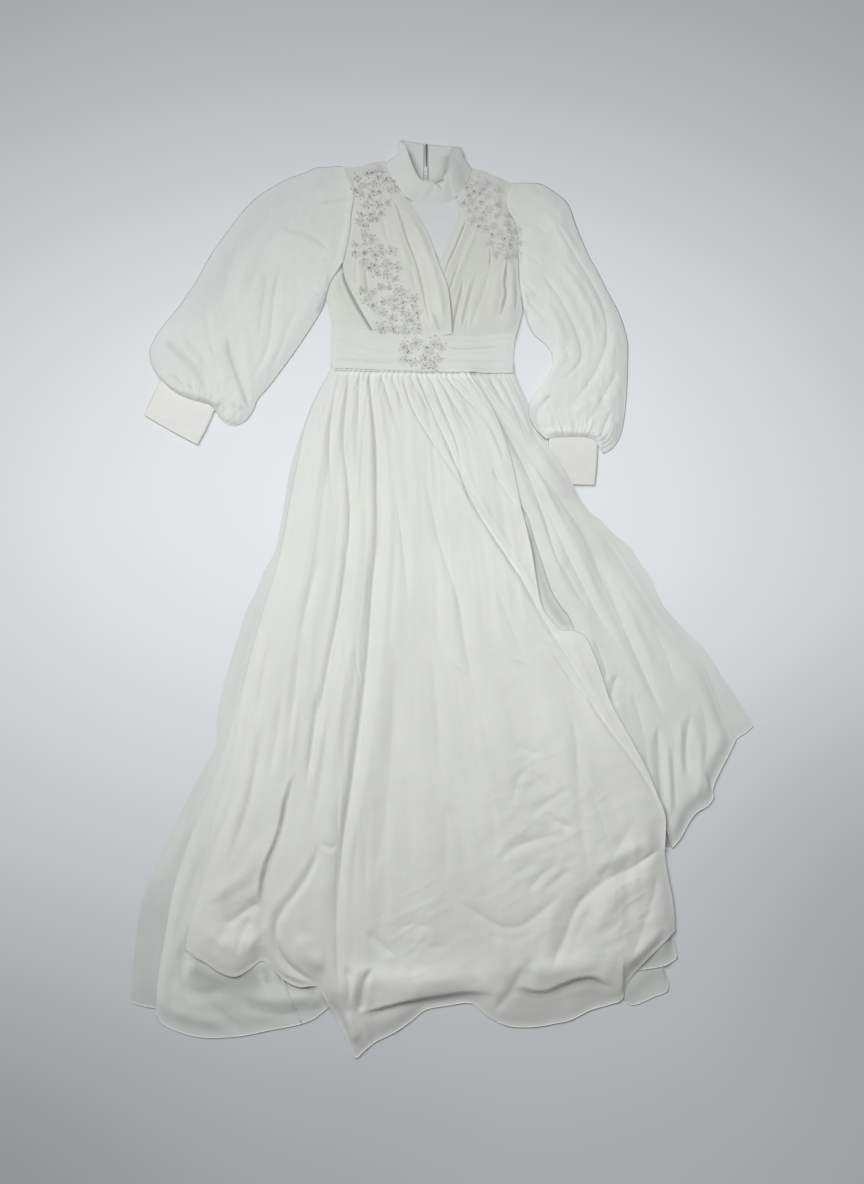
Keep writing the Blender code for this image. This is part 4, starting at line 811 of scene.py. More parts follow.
# painted shade on the outer skirt's colour, painted light where the amount is negative: points, amount, reach right and
# left mm, fades
MAIN_PAINTED_SHADE = [
    ([(340, 1012), (350, 1032), (356, 1048)], 0.08, 10, 10, 0.1, 0.1),
    ([(326, 993), (345, 995), (365, 998), (392, 997)], 0.08, 8, 8, 0.1, 0.5),
    ([(262, 790), (255, 830), (248, 870), (238, 905)], 0.065, 24, 24, 0.3, 0.3),
    ([(440, 790), (440, 850), (440, 905)], 0.025, 45, 45, 0.3, 0.3),
    ([(392, 430), (402, 475), (412, 520)], 0.055, 14, 14, 0.3, 0.3),
    # painted light just under the band's edge, where its shadow falls on the skirt
    ([(336, 374), (380, 375), (430, 376), (470, 377), (512, 377)], -0.10, 4, 4, 0.1, 0.1),
    # painted shade in the bottoms of the deepest folds
    ([(345, 410), (344, 440), (348, 480), (350, 515), (347, 560)], 0.08, 2.5, 3, 0.2, 0.4),
    ([(374, 425), (377, 490), (378, 535), (373, 590)], 0.12, 5, 3, 0.25, 0.35),
    ([(389, 400), (396, 425), (401, 448)], 0.08, 3, 2.5, 0.25, 0.3),
    ([(455, 455), (462, 480), (474, 505), (486, 525)], 0.12, 3, 2.5, 0.2, 0.4),
    ([(412, 408), (428, 436), (446, 462), (470, 500)], 0.06, 2.5, 2.5, 0.3, 0.3),
    ([(462, 395), (480, 414), (494, 436), (506, 470)], 0.06, 3, 2.5, 0.2, 0.3),
    ([(362, 1030), (385, 1024), (410, 1014), (430, 1006)], 0.12, 9, 22, 0.1, 0.2),
    ([(362, 1017), (380, 1011), (402, 1005), (430, 1001), (470, 997), (495, 998)], 0.24, 2, 4.5, 0.08, 0.15),
    ([(494, 1006), (512, 1001), (542, 1002), (575, 994), (610, 991)], 0.13, 9, 13, 0.10, 0.1),
    ([(512, 992), (521, 988), (534, 995), (548, 994), (560, 989), (575, 981), (592, 979), (610, 986)], 0.27, 3, 7, 0.06, 0.2),
    ([(520, 978), (515, 990), (504, 1002), (492, 1010)], 0.14, 3, 4, 0.2, 0.2),
    ([(285, 795), (283, 812), (279, 830)], 0.25, 3, 1.5, 0.3, 0.3),
    ([(270, 860), (264, 880), (262, 900), (244, 914)], 0.14, 4, 6, 0.2, 0.3),
    ([(259, 893), (242, 909), (224, 924)], 0.13, 3, 5, 0.1, 0.2),
    ([(280, 895), (275, 915), (276, 935), (283, 955), (296, 970)], 0.10, 3, 5, 0.25, 0.2),
    ([(253, 925), (247, 940), (243, 957)], 0.08, 3, 3, 0.25, 0.2),
    ([(338, 850), (337, 890), (336, 935)], 0.07, 4, 5, 0.3, 0.3),
    ([(187, 951), (196, 959), (207, 965), (220, 973), (236, 978), (250, 972), (263, 963)], 0.20, 4, 13, 0.05, 0.1),
    ([(372, 962), (366, 985), (361, 1010)], 0.16, 2.5, 3, 0.25, 0.1),
    ([(625, 985), (640, 966), (658, 946)], 0.04, 4, 8, 0.1, 0.2),
    ([(590, 882), (575, 905), (565, 930), (556, 960)], 0.10, 4, 8, 0.25, 0.2),
    ([(655, 852), (630, 866), (605, 878)], 0.08, 3, 6, 0.2, 0.2),
    # painted light: lighter where the cloth of the hem rolls back over itself
    ([(330, 972), (370, 980), (420, 982), (470, 980), (505, 970)], -0.18, 26, 18, 0.15, 0.15),
    ([(405, 988), (435, 987), (470, 984), (500, 980)], -0.09, 10, 12, 0.2, 0.2),
    ([(208, 936), (228, 940), (252, 940), (262, 936)], -0.07, 18, 18, 0.2, 0.2),
    ([(530, 962), (560, 962), (600, 955)], -0.07, 20, 12, 0.2, 0.2),
    ([(640, 880), (634, 920), (622, 960)], -0.05, 12, 14, 0.2, 0.2),
]
MAIN_RIDGES = [
    ([(361, 500), (361, 560), (353, 640), (340, 720), (328, 800)], 3.0, 11, 11, 0.3, 0.4),
    ([(330, 470), (328, 540), (320, 600), (310, 660)], 2.0, 14, 14, 0.3, 0.4),
    ([(390, 500), (392, 560), (388, 640), (380, 720), (370, 800), (362, 880)], 2.5, 16, 14, 0.3, 0.4),
    ([(452, 470), (480, 520), (512, 575), (540, 625)], 2.2, 9, 9, 0.3, 0.3),
    ([(340, 960), (380, 978), (430, 980), (480, 976)], 2.2, 16, 16, 0.3, 0.3),
    ([(520, 970), (560, 968), (600, 960)], 2.2, 15, 15, 0.3, 0.3),
    ([(205, 905), (225, 890), (250, 870), (262, 835)], 3.0, 13, 13, 0.3, 0.3),
    ([(215, 940), (240, 943), (262, 936)], 2.0, 14, 14, 0.3, 0.3),
    ([(300, 930), (310, 955), (330, 968)], 3.0, 12, 12, 0.3, 0.3),
    ([(505, 838), (530, 822), (560, 812)], 1.0, 9, 9, 0.3, 0.3),
    ([(590, 872), (620, 855), (650, 836)], 1.6, 10, 10, 0.3, 0.3),
    ([(590, 935), (612, 900), (650, 875)], 2.6, 14, 14, 0.3, 0.3),
    ([(620, 970), (645, 945), (665, 925)], 2.0, 9, 9, 0.3, 0.3),
    ([(345, 1010), (352, 1030), (356, 1045)], 2.6, 8, 8, 0.3, 0.3),
    ([(248, 690), (243, 730), (240, 762)], 1.4, 4, 4, 0.3, 0.3),
    ([(300, 690), (295, 730), (291, 768)], 1.8, 4, 4, 0.3, 0.3),
]
UNDER_CREASES = [
    ([(478, 378), (487, 394), (498, 410), (513, 434), (528, 456), (544, 478), (561, 498), (577, 520), (590, 545), (600, 572), (611, 598), (622, 622), (634, 648), (646, 676), (658, 704), (668, 725)], -5.6, 6, 8, 0.03, 0.15),
    ([(500, 377), (507, 391), (514, 405), (521, 419), (528, 434)], -2.6, 4, 4, 0.05, 0.4),
    ([(490, 378), (500, 396), (512, 415)], -2.4, 4, 3, 0.05, 0.5),
    ([(470, 379), (486, 398), (500, 420), (516, 450), (530, 480), (545, 520), (556, 556), (570, 588)], -3.6, 6, 5, 0.05, 0.25),
    ([(658, 724), (658, 745), (660, 780), (664, 825)], -3.6, 4, 5, 0.15, 0.1),
    ([(691, 712), (687, 735), (686, 756), (688, 782)], -2.3, 5.5, 5.5, 0.2, 0.25),
    ([(618, 674), (612, 690), (612, 700), (620, 706)], -2.4, 5, 5, 0.2, 0.2),
    ([(592, 636), (602, 660), (609, 690)], -2.0, 5, 5, 0.3, 0.3),
    ([(520, 450), (540, 490), (560, 538), (580, 580), (600, 618), (620, 648), (636, 672)], -2.6, 5, 5, 0.2, 0.3),
    ([(545, 470), (570, 510), (590, 536)], -2.0, 6, 6, 0.25, 0.3),
    ([(600, 530), (625, 565), (650, 605), (672, 645)], -1.2, 8, 8, 0.25, 0.4),
    ([(650, 620), (668, 660), (680, 700)], -1.4, 7, 7, 0.25, 0.4),
    ([(560, 560), (575, 590), (590, 612)], -2.0, 5, 5, 0.25, 0.3),
    ([(700, 700), (707, 735), (703, 772)], -1.4, 6, 6, 0.3, 0.3),
    ([(645, 745), (648, 775), (650, 800)], -1.4, 4, 4, 0.3, 0.3),
    ([(672, 742), (674, 775), (676, 812)], -1.6, 4, 4, 0.3, 0.3),
    ([(632, 690), (640, 720), (645, 742)], -1.6, 4, 4, 0.3, 0.3),
]
UNDER_RIDGES = [
    ([(540, 478), (563, 528), (588, 575), (604, 615)], 1.6, 7, 7, 0.25, 0.3),
    ([(615, 585), (638, 632), (658, 680)], 1.8, 8, 8, 0.25, 0.3),
    ([(666, 740), (669, 780), (670, 820)], 1.8, 5, 5, 0.25, 0.2),
    ([(700, 735), (700, 775), (694, 805)], 1.4, 7, 7, 0.25, 0.3),
    ([(681, 720), (680, 750), (682, 780)], 1.4, 5, 5, 0.25, 0.3),
]
# painted shade on the inner front panel's colour, in its folds and at its hem
UNDER_PAINTED_SHADE = [
    ([(660, 800), (664, 822), (668, 842)], 0.45, 6, 6, 0.3, 0.0),
    ([(598, 560), (612, 600), (628, 634)], 0.14, 4, 4, 0.3, 0.3),
    ([(658, 730), (660, 770), (663, 800)], 0.16, 2.5, 2.5, 0.2, 0.1),
    ([(540, 440), (570, 500), (590, 540), (620, 595)], 0.12, 24, 24, 0.3, 0.3),
    ([(487, 394), (513, 434), (544, 478), (577, 520), (600, 572), (634, 648)], 0.09, 3, 5, 0.15, 0.3),
]
# painted shade on the lining's colour, in the slit's gap and under the outer layer's puff
LINING_PAINTED_SHADE = [
    ([(522, 520), (532, 548), (541, 580), (550, 605), (564, 624)], 0.25, 14, 6, 0.2, 0.0),
    ([(188, 966), (205, 976), (222, 982), (242, 984), (262, 974)], 0.34, 12, 18, 0.1, 0.1),
    ([(218, 990), (226, 992), (234, 988)], 0.30, 6, 6, 0.2, 0.2),
    ([(264, 966), (266, 975), (268, 986)], 0.28, 6, 6, 0.1, 0.2),
    ([(276, 975), (292, 984), (318, 990)], 0.36, 3, 6, 0.1, 0.1),
    ([(238, 998), (250, 1006), (272, 1012), (300, 1011), (325, 1005)], 0.24, 4, 5, 0.2, 0.1),
    ([(630, 972), (645, 960), (662, 946), (672, 940)], 0.22, 14, 14, 0.0, 0.0),
    ([(660, 820), (666, 845), (668, 870)], 0.30, 8, 8, 0.1, 0.4),
]
# painted shade on the back panels' colour, in the slit's gap and at the lower corners
BACK_PAINTED_SHADE = [
    ([(522, 520), (532, 548), (541, 580), (550, 605), (564, 624)], 0.25, 16, 6, 0.2, 0.0),
    ([(626, 1000), (640, 985), (660, 972)], 0.22, 14, 14, 0.0, 0.0),
    ([(666, 805), (668, 828), (668, 846)], 0.45, 8, 8, 0.0, 0.0),
]
BACK_CREASES = [
    ([(266, 590), (250, 640), (238, 690), (228, 730)], -2.0, 6, 5, 0.2, 0.3),
    ([(300, 455), (291, 500), (284, 545), (276, 575)], -1.6, 6, 5, 0.25, 0.3),
    ([(314, 408), (304, 440), (297, 480)], -1.6, 5, 4, 0.2, 0.3),
    ([(196, 820), (178, 870), (166, 915), (163, 935), (165, 950), (168, 968)], -2.6, 6, 5, 0.3, 0.2),
    ([(176, 855), (158, 900), (150, 940), (148, 985)], -1.4, 7, 6, 0.3, 0.3),
    ([(160, 880), (146, 920), (140, 960)], -1.2, 5, 5, 0.3, 0.3),
    ([(177, 878), (186, 874), (196, 869)], -1.4, 3.5, 3.5, 0.3, 0.3),
    ([(210, 770), (196, 805), (186, 835)], -1.2, 6, 6, 0.3, 0.3),
    ([(602, 522), (640, 575), (672, 622), (705, 668), (722, 716), (735, 738)], -1.5, 5, 4, 0.15, 0.2),
    ([(625, 545), (655, 592), (688, 638), (715, 672)], -1.0, 5, 5, 0.2, 0.3),
    ([(720, 690), (732, 710), (742, 728)], -1.2, 5, 5, 0.3, 0.2),
]
LINING_CREASES = [
    # the shaded hollow under the puff of the outer layer
    ([(186, 940), (186, 958), (198, 962), (212, 968), (225, 976), (240, 980), (254, 974), (266, 964)], -3.0, 5, 9, 0.15, 0.15),
    ([(186, 990), (205, 994), (220, 990), (232, 982)], -2.4, 5, 6, 0.2, 0.3),
    ([(262, 966), (262, 980), (258, 992)], -2.0, 4, 4, 0.2, 0.3),
    ([(272, 970), (285, 980), (300, 986), (318, 988)], -3.0, 4, 6, 0.2, 0.15),
    ([(236, 992), (248, 1003), (262, 1009), (280, 1012), (300, 1010), (325, 1004)], -2.8, 5, 5, 0.25, 0.2),
    ([(203, 998), (215, 1010), (230, 1022), (243, 1033)], -2.0, 5, 6, 0.2, 0.2),
    ([(191, 924), (187, 945), (184, 965), (185, 985), (190, 1000), (197, 1008)], -3.6, 4.5, 5, 0.15, 0.25),
    ([(178, 965), (172, 990), (171, 1014)], -1.8, 5, 5, 0.3, 0.2),
    ([(205, 845), (193, 885), (180, 925), (172, 955)], -1.6, 6, 6, 0.3, 0.3),
    ([(222, 770), (210, 810), (198, 850)], -1.4, 6, 6, 0.3, 0.3),
    ([(638, 968), (650, 955), (660, 940)], -1.2, 4, 4, 0.3, 0.3),
]
LINING_RIDGES = [
    ([(170, 1000), (180, 1012), (200, 1020), (225, 1026)], 1.4, 7, 7, 0.3, 0.3),
    ([(245, 996), (280, 1000), (315, 994)], 1.6, 6, 6, 0.3, 0.3),
    ([(180, 900), (172, 940), (165, 980)], 1.6, 6, 6, 0.3, 0.3),
]


def cloth_panel(name, grid, loft, rows, ridges, seed, clearance, gather=None, edge=0.010, grain=0.0005,
                hem_wave=0.0005, reach=3, soft=2.5, keep=(0.0, 0.0), top=1.0, low=0.08, strength=1.0, tight=1.0, over=(),
                gather_depth=0.0022, flow=0.0, crumple=(), shut=0.030):
    """Height of a panel over what it lies on: a loft that closes towards its edges,
    less its troughs, plus its ridges and small unevenness along the cloth. keep is
    the part of the loft that the left and right edges hold, top that of the seam
    and low that of the hem."""
    nv, nu = grid.shape[:2]
    P = grid.reshape(-1, 2)
    cl, cr, ct, cb = edge_distance(grid)
    side = ((keep[0] + (1 - keep[0]) * smooth(cl / edge * 0.5) ** 0.8)
            * (keep[1] + (1 - keep[1]) * smooth(cr / edge * 0.5) ** 0.8))
    body = loft * side * (low + (1 - low) * smooth(cb / shut)) * (top + (1 - top) * smooth(ct / 0.055))
    u = np.broadcast_to(np.linspace(0, 1, nu)[None, :], (nv, nu))
    v = np.broadcast_to(np.linspace(0, 1, nv)[:, None], (nv, nu))
    width = cl + cr
    z = body.ravel() + creases(P, rows, strength, tight) + creases(P, ridges, strength) + laps(P, over)
    z += grain * fbm(u.ravel() * width.ravel().max() / 0.045, v.ravel() * 5.0, seed)
    z += grain * 1.3 * fbm(P[:, 0] / 0.070, P[:, 1] / 0.095, seed + 20)
    if flow:
        many = fbm(u.ravel() * width.ravel().max() / 0.032, v.ravel() * 2.6, seed + 80, 2)
        few = fbm(u.ravel() * width.ravel().max() / 0.075, v.ravel() * 1.7, seed + 90, 2)
        z += flow * (many + 1.3 * few) * smooth(ct.ravel() / 0.10) * smooth(cb.ravel() / 0.05)
    for x, y, r in crumple:
        c = np.array(at(x, y, 0.006))
        near = np.exp(-((P - c) ** 2).sum(1) / (r * 0.00165) ** 2)
        q = P[:, 0] * 0.88 + P[:, 1] * 0.48, P[:, 1] * 0.88 - P[:, 0] * 0.48
        ridged = 1 - 2.2 * np.abs(fbm(q[0] / 0.055, q[1] / 0.020, seed + 130, 2))
        z += 0.0008 * near * ridged * np.abs(ridged)
    if gather:
        z += gathers(u.ravel(), ct.ravel(), gather, seed + 40, gather_depth)
    z *= (0.5 + 0.5 * smooth(cb.ravel() / 0.022))
    z += (hem_wave * fbm(u.ravel() * width.ravel().max() / 0.045, v.ravel() * 0, seed + 60) * np.exp(-cb.ravel() / 0.02))
    # soft floor at the piece below
    k = 0.0006
    z = k * np.log1p(np.exp(np.clip(z / k, -40, 40)))
    z = (z + clearance) * (0.55 + 0.45 * smooth(cb.ravel() / 0.014)) + ground_under(P, reach, soft)
    return z.reshape(nv, nu)


def turned(grid, z, drop=0.004):
    """The lower edge turned down to what it lies on, so that no gap shows under it.
    The turned strip has its own row of corners along the edge, so the edge stays sharp."""
    low = np.maximum(z[-1:] - drop, ground_under(grid[-1], 0, 0.7)[None] + 0.0002)
    return np.concatenate([grid, grid[-1:], grid[-1:]]), np.concatenate([z, z[-1:], np.minimum(low, z[-1:])])


def part_of(path, *stretches):
    """Stretches of an edge between pairs of photograph pixels."""
    out = []
    for a, b in stretches:
        i = [int(np.argmin(np.hypot(*(path[:, :2] - np.array(at(*q, 0.005))).T))) for q in (a, b)]
        out.append(path[min(i):max(i) + 1])
    return out


def hem_path(grid, z, which, lift=0.0003):
    pick = {"left": (slice(None), 0), "right": (slice(None), -1), "top": (0, slice(None)), "bottom": (-1, slice(None))}[which]
    return np.column_stack([grid[pick], z[pick] + lift])


def build_skirt():
    def grid_of(left, right, top, hem, nv, nu):
        return coons(px_line(left, nv), px_line(right, nv), top, px_line(hem, nu))

    hems = []
    # back, left and right of the centre seam
    seam = [(424, 369), (426, 500), (428, 700), (432, 990)]
    g = grid_of(BACK_LEFT, seam, waist_line(332, 424, 80), BACK_LEFT_HEM, 190, 80)
    z = cloth_panel("skirt_back_left", g, 0.0022, BACK_CREASES, [], 11, 0.0004, grain=0.0003, edge=0.012, low=0.3)
    P = g.reshape(-1, 2)
    gt, zt = turned(g, z)
    ob = sheet_mesh("cloth_skirt_back_left", gt, zt, split=True, dens=np.full(zt.size, 0.15))
    # painted shade on the outermost back layer's colour at the lower left
    paint_shade(ob, gt.reshape(-1, 2), [([(172, 850), (158, 900), (148, 950), (142, 1000)], 0.14, 45, 45, 0.5, 0.0)], 0.02)
    lay_down(P, z.ravel())
    dress(ob, CHIFFON, "chiffon", "skirt_back_left")
    hems += part_of(hem_path(g, z, "bottom"), ((131, 1002), (160, 1009)))
    back_l = ob
    g = grid_of(seam, BACK_RIGHT, waist_line(424, 514, 90), BACK_RIGHT_HEM, 190, 90)
    z = cloth_panel("skirt_back_right", g, 0.0018, BACK_CREASES, [], 12, 0.0004, grain=0.0003, edge=0.012, low=0.4)
    P = g.reshape(-1, 2)
    gt, zt = turned(g, z)
    ob = sheet_mesh("cloth_skirt_back_right", gt, zt, split=True, dens=np.full(zt.size, 0.35))
    paint_shade(ob, gt.reshape(-1, 2), BACK_PAINTED_SHADE, 0.045)
    lay_down(P, z.ravel())
    dress(ob, CHIFFON, "chiffon", "skirt_back_right")
    hems += part_of(hem_path(g, z, "bottom"), ((626, 1002), (668, 990)), ((668, 990), (663, 965)), ((727, 755), (753, 726)))
    back_r = ob

    g = grid_of(LINING_LEFT, LINING_RIGHT, waist_line(338, 478, 140), LINING_HEM, 210, 140)
    z = cloth_panel("skirt_lining", g, 0.0036, LINING_CREASES, LINING_RIDGES, 13, 0.0005, grain=0.0005, edge=0.010, top=0.4)
    P = g.reshape(-1, 2)
    gt, zt = turned(g, z)
    lining = sheet_mesh("cloth_skirt_lining", gt, zt, split=True, dens=np.full(zt.size, 0.6))
    paint_shade(lining, gt.reshape(-1, 2), LINING_PAINTED_SHADE)
    lay_down(P, z.ravel())
    dress(lining, LINING, "lining", "skirt_lining")
    low = hem_path(g, z, "bottom")
    hems += part_of(low, ((156, 1012), (328, 1008)), ((635, 970), (677, 958)))
    hems += part_of(hem_path(g, z, "right"), ((668, 915), (677, 958)))
    # the seam that shows on the inner layer's lower edge
    line = px_line([(279, 972), (285, 984), (290, 998), (296, 1012), (301, 1023)], 60, 0.004)
    up = sample(blur(pile, 1.0), line)
    seams = [np.column_stack([line, up + 0.0004])]

    g = grid_of(UNDER_LEFT, UNDER_RIGHT, waist_line(459, 512, 120), UNDER_HEM, 300, 120)
    z = cloth_panel("skirt_under", g, 0.0052, UNDER_CREASES, UNDER_RIDGES, 14, 0.0006, gather=9, edge=0.014, grain=0.0006,
                    keep=(0.5, 0.0), top=0.3, gather_depth=0.0014, flow=0.0012)
    P = g.reshape(-1, 2)
    gt, zt = turned(g, z)
    under = sheet_mesh("cloth_skirt_under", gt, zt, split=True, dens=np.repeat(np.clip(np.linspace(1.3, 0.2, zt.shape[0]), 0.4, 0.95), zt.shape[1]))
    paint_shade(under, gt.reshape(-1, 2), UNDER_PAINTED_SHADE, 0.035)
    lay_down(P, z.ravel())
    dress(under, CHIFFON, "chiffon", "skirt_under")
    hems += [hem_path(g, z, "bottom")] + part_of(hem_path(g, z, "left"), ((527, 518), (672, 848)))

    g = grid_of(MAIN_LEFT, MAIN_RIGHT, waist_line(334, 466, 252), MAIN_HEM, 392, 252)
    z = cloth_panel("skirt_main", g, 0.0070, MAIN_CREASES + softer(MAIN_CRUMPLES, 0.68, 1.25), MAIN_RIDGES, 15, 0.0006,
                    gather=24, edge=0.022, grain=0.0006, keep=(0.0, 0.35), top=0.25, over=MAIN_LAPS, gather_depth=0.0027,
                    flow=0.0015, strength=1.15, low=0.34, shut=0.044,
                    crumple=[(545, 825, 70), (430, 930, 45), (228, 930, 42), (615, 920, 50)])
    P = g.reshape(-1, 2)
    gt, zt = turned(g, z)
    main = sheet_mesh("cloth_skirt_main", gt, zt, split=True, dens=np.full(zt.size, 1.0))
    paint_shade(main, gt.reshape(-1, 2), MAIN_PAINTED_SHADE, 0.018)
    lay_down(P, z.ravel())
    dress(main, CHIFFON, "chiffon", "skirt_main")
    hems += part_of(hem_path(g, z, "bottom"), ((355, 1058), (470, 1003)), ((497, 1023), (620, 1001)))
    hems += part_of(hem_path(g, z, "right"), ((524, 522), (664, 850)))
    ob = tube_object("hems_skirt", hems, 0.0006)
    tint(ob, np.ones(len(ob.data.vertices)))
    dress(ob, THREAD, "chiffon")
    ob = tube_object("seam_lining", seams, 0.0011)
    level = np.append(np.repeat(seams[0][:, 2], 6), seams[0][[0, -1], 2])
    for vert, mid in zip(ob.data.vertices, level):
        vert.co.z = mid + 0.3 * (vert.co.z - mid)
    tint(ob, np.ones(len(ob.data.vertices)))
    dress(ob, THREAD, "lining")
    return back_l, back_r, lining, under, main


# ------------------------------------------------------------------ cuffs
CUFF_L = [(-0.4720, 0.2888), (-0.3740, 0.2363), (-0.4005, 0.1653), (-0.4955, 0.2203)]
CUFF_R = [(0.1935, 0.1835), (0.2765, 0.1795), (0.2675, 0.0933), (0.1855, 0.0973)]


def ring_mesh(name, top, ztop, bottom, zbot, dens=None):
    """A flattened tube: an upper and a lower wall that share their side edges."""
    nv, nu = top.shape[:2]
    nb = bottom.shape[1]
    upper = np.dstack([top, ztop])
    lower = np.dstack([bottom, zbot])[:, ::-1][:, 1:-1]
    ring = np.concatenate([upper, lower], axis=1)
    m = ring.shape[1]
    ob = new_object(name, ring.reshape(-1, 3), grid_faces(nv, m, wrap=True))
    d = np.ones((nv, m)) if dens is None else np.concatenate([dens, np.ones((nv, nb - 2)) * 0.8], axis=1)
    tint(ob, d)
    return ob


def build_cuff(name, corners, seed, node_name, tone=0.0):
    tl, tr, br, bl = [np.array(c) for c in corners]
    nv, nu, nb = 60, 70, 14
    def edge(a, b, n, bow=0.0):
        t = np.linspace(0, 1, n)[:, None]
        d = b - a
        out = np.array([-d[1], d[0]]) / np.linalg.norm(d)
        return a + d * t + out * bow * np.sin(np.pi * t)
    g = coons(edge(tl, bl, nv, -0.0012), edge(tr, br, nv, 0.0016), edge(tl, tr, nu), edge(bl, br, nu, -0.0010))
    u = np.linspace(0, 1, nu)[None, :]
    v = np.linspace(0, 1, nv)[:, None]
    w = np.linalg.norm(tr - tl)
    side = np.minimum(u, 1 - u) * w
    dome = np.sqrt(np.clip(side / 0.006, 0, 1) * (2 - np.clip(side / 0.006, 0, 1)))
    base = ground_under(g.reshape(-1, 2), 2, 2).reshape(nv, nu)
    z = base + 0.0013 + 0.0022 * dome + 0.0006 * np.sin(np.pi * v) * np.sin(np.pi * u)
    z += 0.0005 * fbm(g[..., 0] / 0.022, g[..., 1] / 0.018, seed) * dome
    gl = np.linspace(0, 1, nb)
    cols = np.clip(np.round(gl * (nu - 1)).astype(int), 0, nu - 1)
    gb = g[:, cols]
    zb = np.where((gl[None, :] > 0.01) & (gl[None, :] < 0.99), base[:, cols] + 0.0012, z[:, cols])
    ob = ring_mesh(name, g, z, gb, zb)
    # painted shade: the whole cuff's colour darkened evenly by tone
    tint(ob, np.full(len(ob.data.vertices), tone), "painted_shade")
    m = ob.modifiers.new("wall", "SOLIDIFY")
    m.thickness, m.offset = 0.0009, -1.0
    lay_down(g.reshape(-1, 2), z.ravel())
    dress(ob, CREPE, "crepe", node_name)
    # stitched hem line near the open end
    paths = []
    for vv in (0.90,):
        i = int(vv * (nv - 1))
        paths.append(np.column_stack([g[i, 3:-3], z[i, 3:-3] + 0.00005]))
    st = tube_object("stitch_" + name, paths, 0.00022, 5)
    tint(st, np.ones(len(st.data.vertices)))
    dress(st, THREAD, "crepe")
    return ob


# ------------------------------------------------------------------ bodice
SHOULDER_L = [(345, 169), (358, 168), (372, 164), (385, 161)]
ARM_L = [(345, 169), (349, 178), (354, 196), (351, 215), (349, 235), (345, 255), (343, 265)]
DEEP_L = [(343, 265), (344, 274), (346, 283), (350, 292), (356, 303), (362, 314), (368, 324), (374, 333)]
WRAP_L_NECK = [(385, 161), (390, 176), (398, 190), (405, 199), (412, 210), (420, 222), (428, 236), (433, 249), (437, 262),
               (443, 277), (447, 287), (450, 306), (452, 335)]
ARM_R = [(513, 184), (508, 193), (506, 200), (507, 210), (515, 225), (517, 235), (518, 262), (519, 285), (521, 300),
         (522, 312), (519, 325), (516, 337)]
WRAP_R_NECK = [(473, 169), (468, 182), (458, 196), (457, 206), (459, 216), (457, 224), (451, 236), (446, 250),
               (440, 264), (436, 280), (434, 300), (432, 337)]
WRAP_L_CREASES = [
    ([(394, 199), (400, 216), (408, 240), (417, 263), (423, 288), (427, 308), (431, 330)], -3.4, 4.5, 3.0, 0.08, 0.15),
    ([(433, 311), (436, 321), (440, 331)], -3.0, 3, 3, 0.25, 0.1),
    ([(403, 240), (413, 262), (419, 280), (422, 300)], -1.2, 7, 7, 0.3, 0.3),
    ([(400, 262), (409, 267), (414, 280), (417, 296)], -1.6, 6, 7, 0.25, 0.3),
    ([(352, 176), (355, 184), (358, 190)], -1.4, 3, 3, 0.2, 0.3),
    ([(357, 172), (360, 180)], -1.2, 3, 3, 0.2, 0.3),
    ([(357, 262), (356, 275), (357, 288)], -1.6, 3.5, 3.5, 0.3, 0.3),
    ([(365, 268), (367, 282), (368, 294)], -1.2, 3.5, 3.5, 0.3, 0.3),
    ([(350, 196), (352, 215), (350, 240)], -1.4, 4, 4, 0.2, 0.3),
    ([(384, 215), (385, 230), (390, 243)], -1.0, 5, 5, 0.3, 0.3),
    ([(417, 312), (421, 322), (424, 333)], -1.2, 3, 3, 0.3, 0.2),
    ([(425, 318), (428, 326), (431, 333)], -1.4, 3, 3, 0.3, 0.2),
]
WRAP_L_RIDGES = [
    ([(410, 215), (420, 235), (428, 255), (436, 280), (441, 305), (444, 328)], 1.6, 6, 6, 0.2, 0.2),
    ([(362, 250), (360, 270), (364, 292), (374, 315)], 1.8, 10, 8, 0.3, 0.3),
    ([(395, 225), (404, 250), (412, 275)], 1.0, 6, 6, 0.3, 0.3),
]
WRAP_R_CREASES = [
    ([(467, 219), (459, 240), (452, 256), (444, 275)], -2.6, 3.4, 3.4, 0.15, 0.12),
    ([(460, 262), (455, 274), (450, 291)], -2.4, 3.4, 3.0, 0.25, 0.2),
    ([(464, 276), (461, 292), (457, 308), (453, 331)], -3.6, 4.0, 3.0, 0.2, 0.06),
    ([(478, 268), (472, 290), (466, 312), (462, 330)], -1.4, 5, 5, 0.3, 0.2),
    ([(492, 262), (484, 290), (474, 318), (470, 332)], -1.2, 6, 6, 0.3, 0.2),
    ([(508, 258), (507, 270), (506, 282), (507, 294), (504, 305), (500, 318)], -5.0, 3.6, 4.2, 0.2, 0.18),
    ([(490, 247), (491, 256), (490, 268)], -2.2, 3, 3, 0.25, 0.3),
    ([(496, 250), (498, 262)], -1.6, 3, 3, 0.3, 0.3),
    ([(517, 283), (517, 298), (516, 312)], -2.6, 2.6, 2.6, 0.25, 0.25),
    ([(472, 300), (468, 316), (466, 332)], -1.0, 3.5, 3.5, 0.3, 0.2),
    ([(509, 194), (507, 204), (509, 214)], -1.6, 3.5, 3.5, 0.2, 0.3),
]
WRAP_R_RIDGES = [
    ([(478, 225), (468, 250), (458, 275), (451, 300)], 1.2, 5, 5, 0.25, 0.25),
    ([(470, 280), (464, 305), (459, 328)], 1.4, 4, 4, 0.25, 0.2),
    ([(498, 270), (496, 295), (490, 318)], 2.0, 9, 9, 0.3, 0.3),
    ([(513, 262), (513, 285), (511, 310)], 1.6, 5, 5, 0.3, 0.3),
]
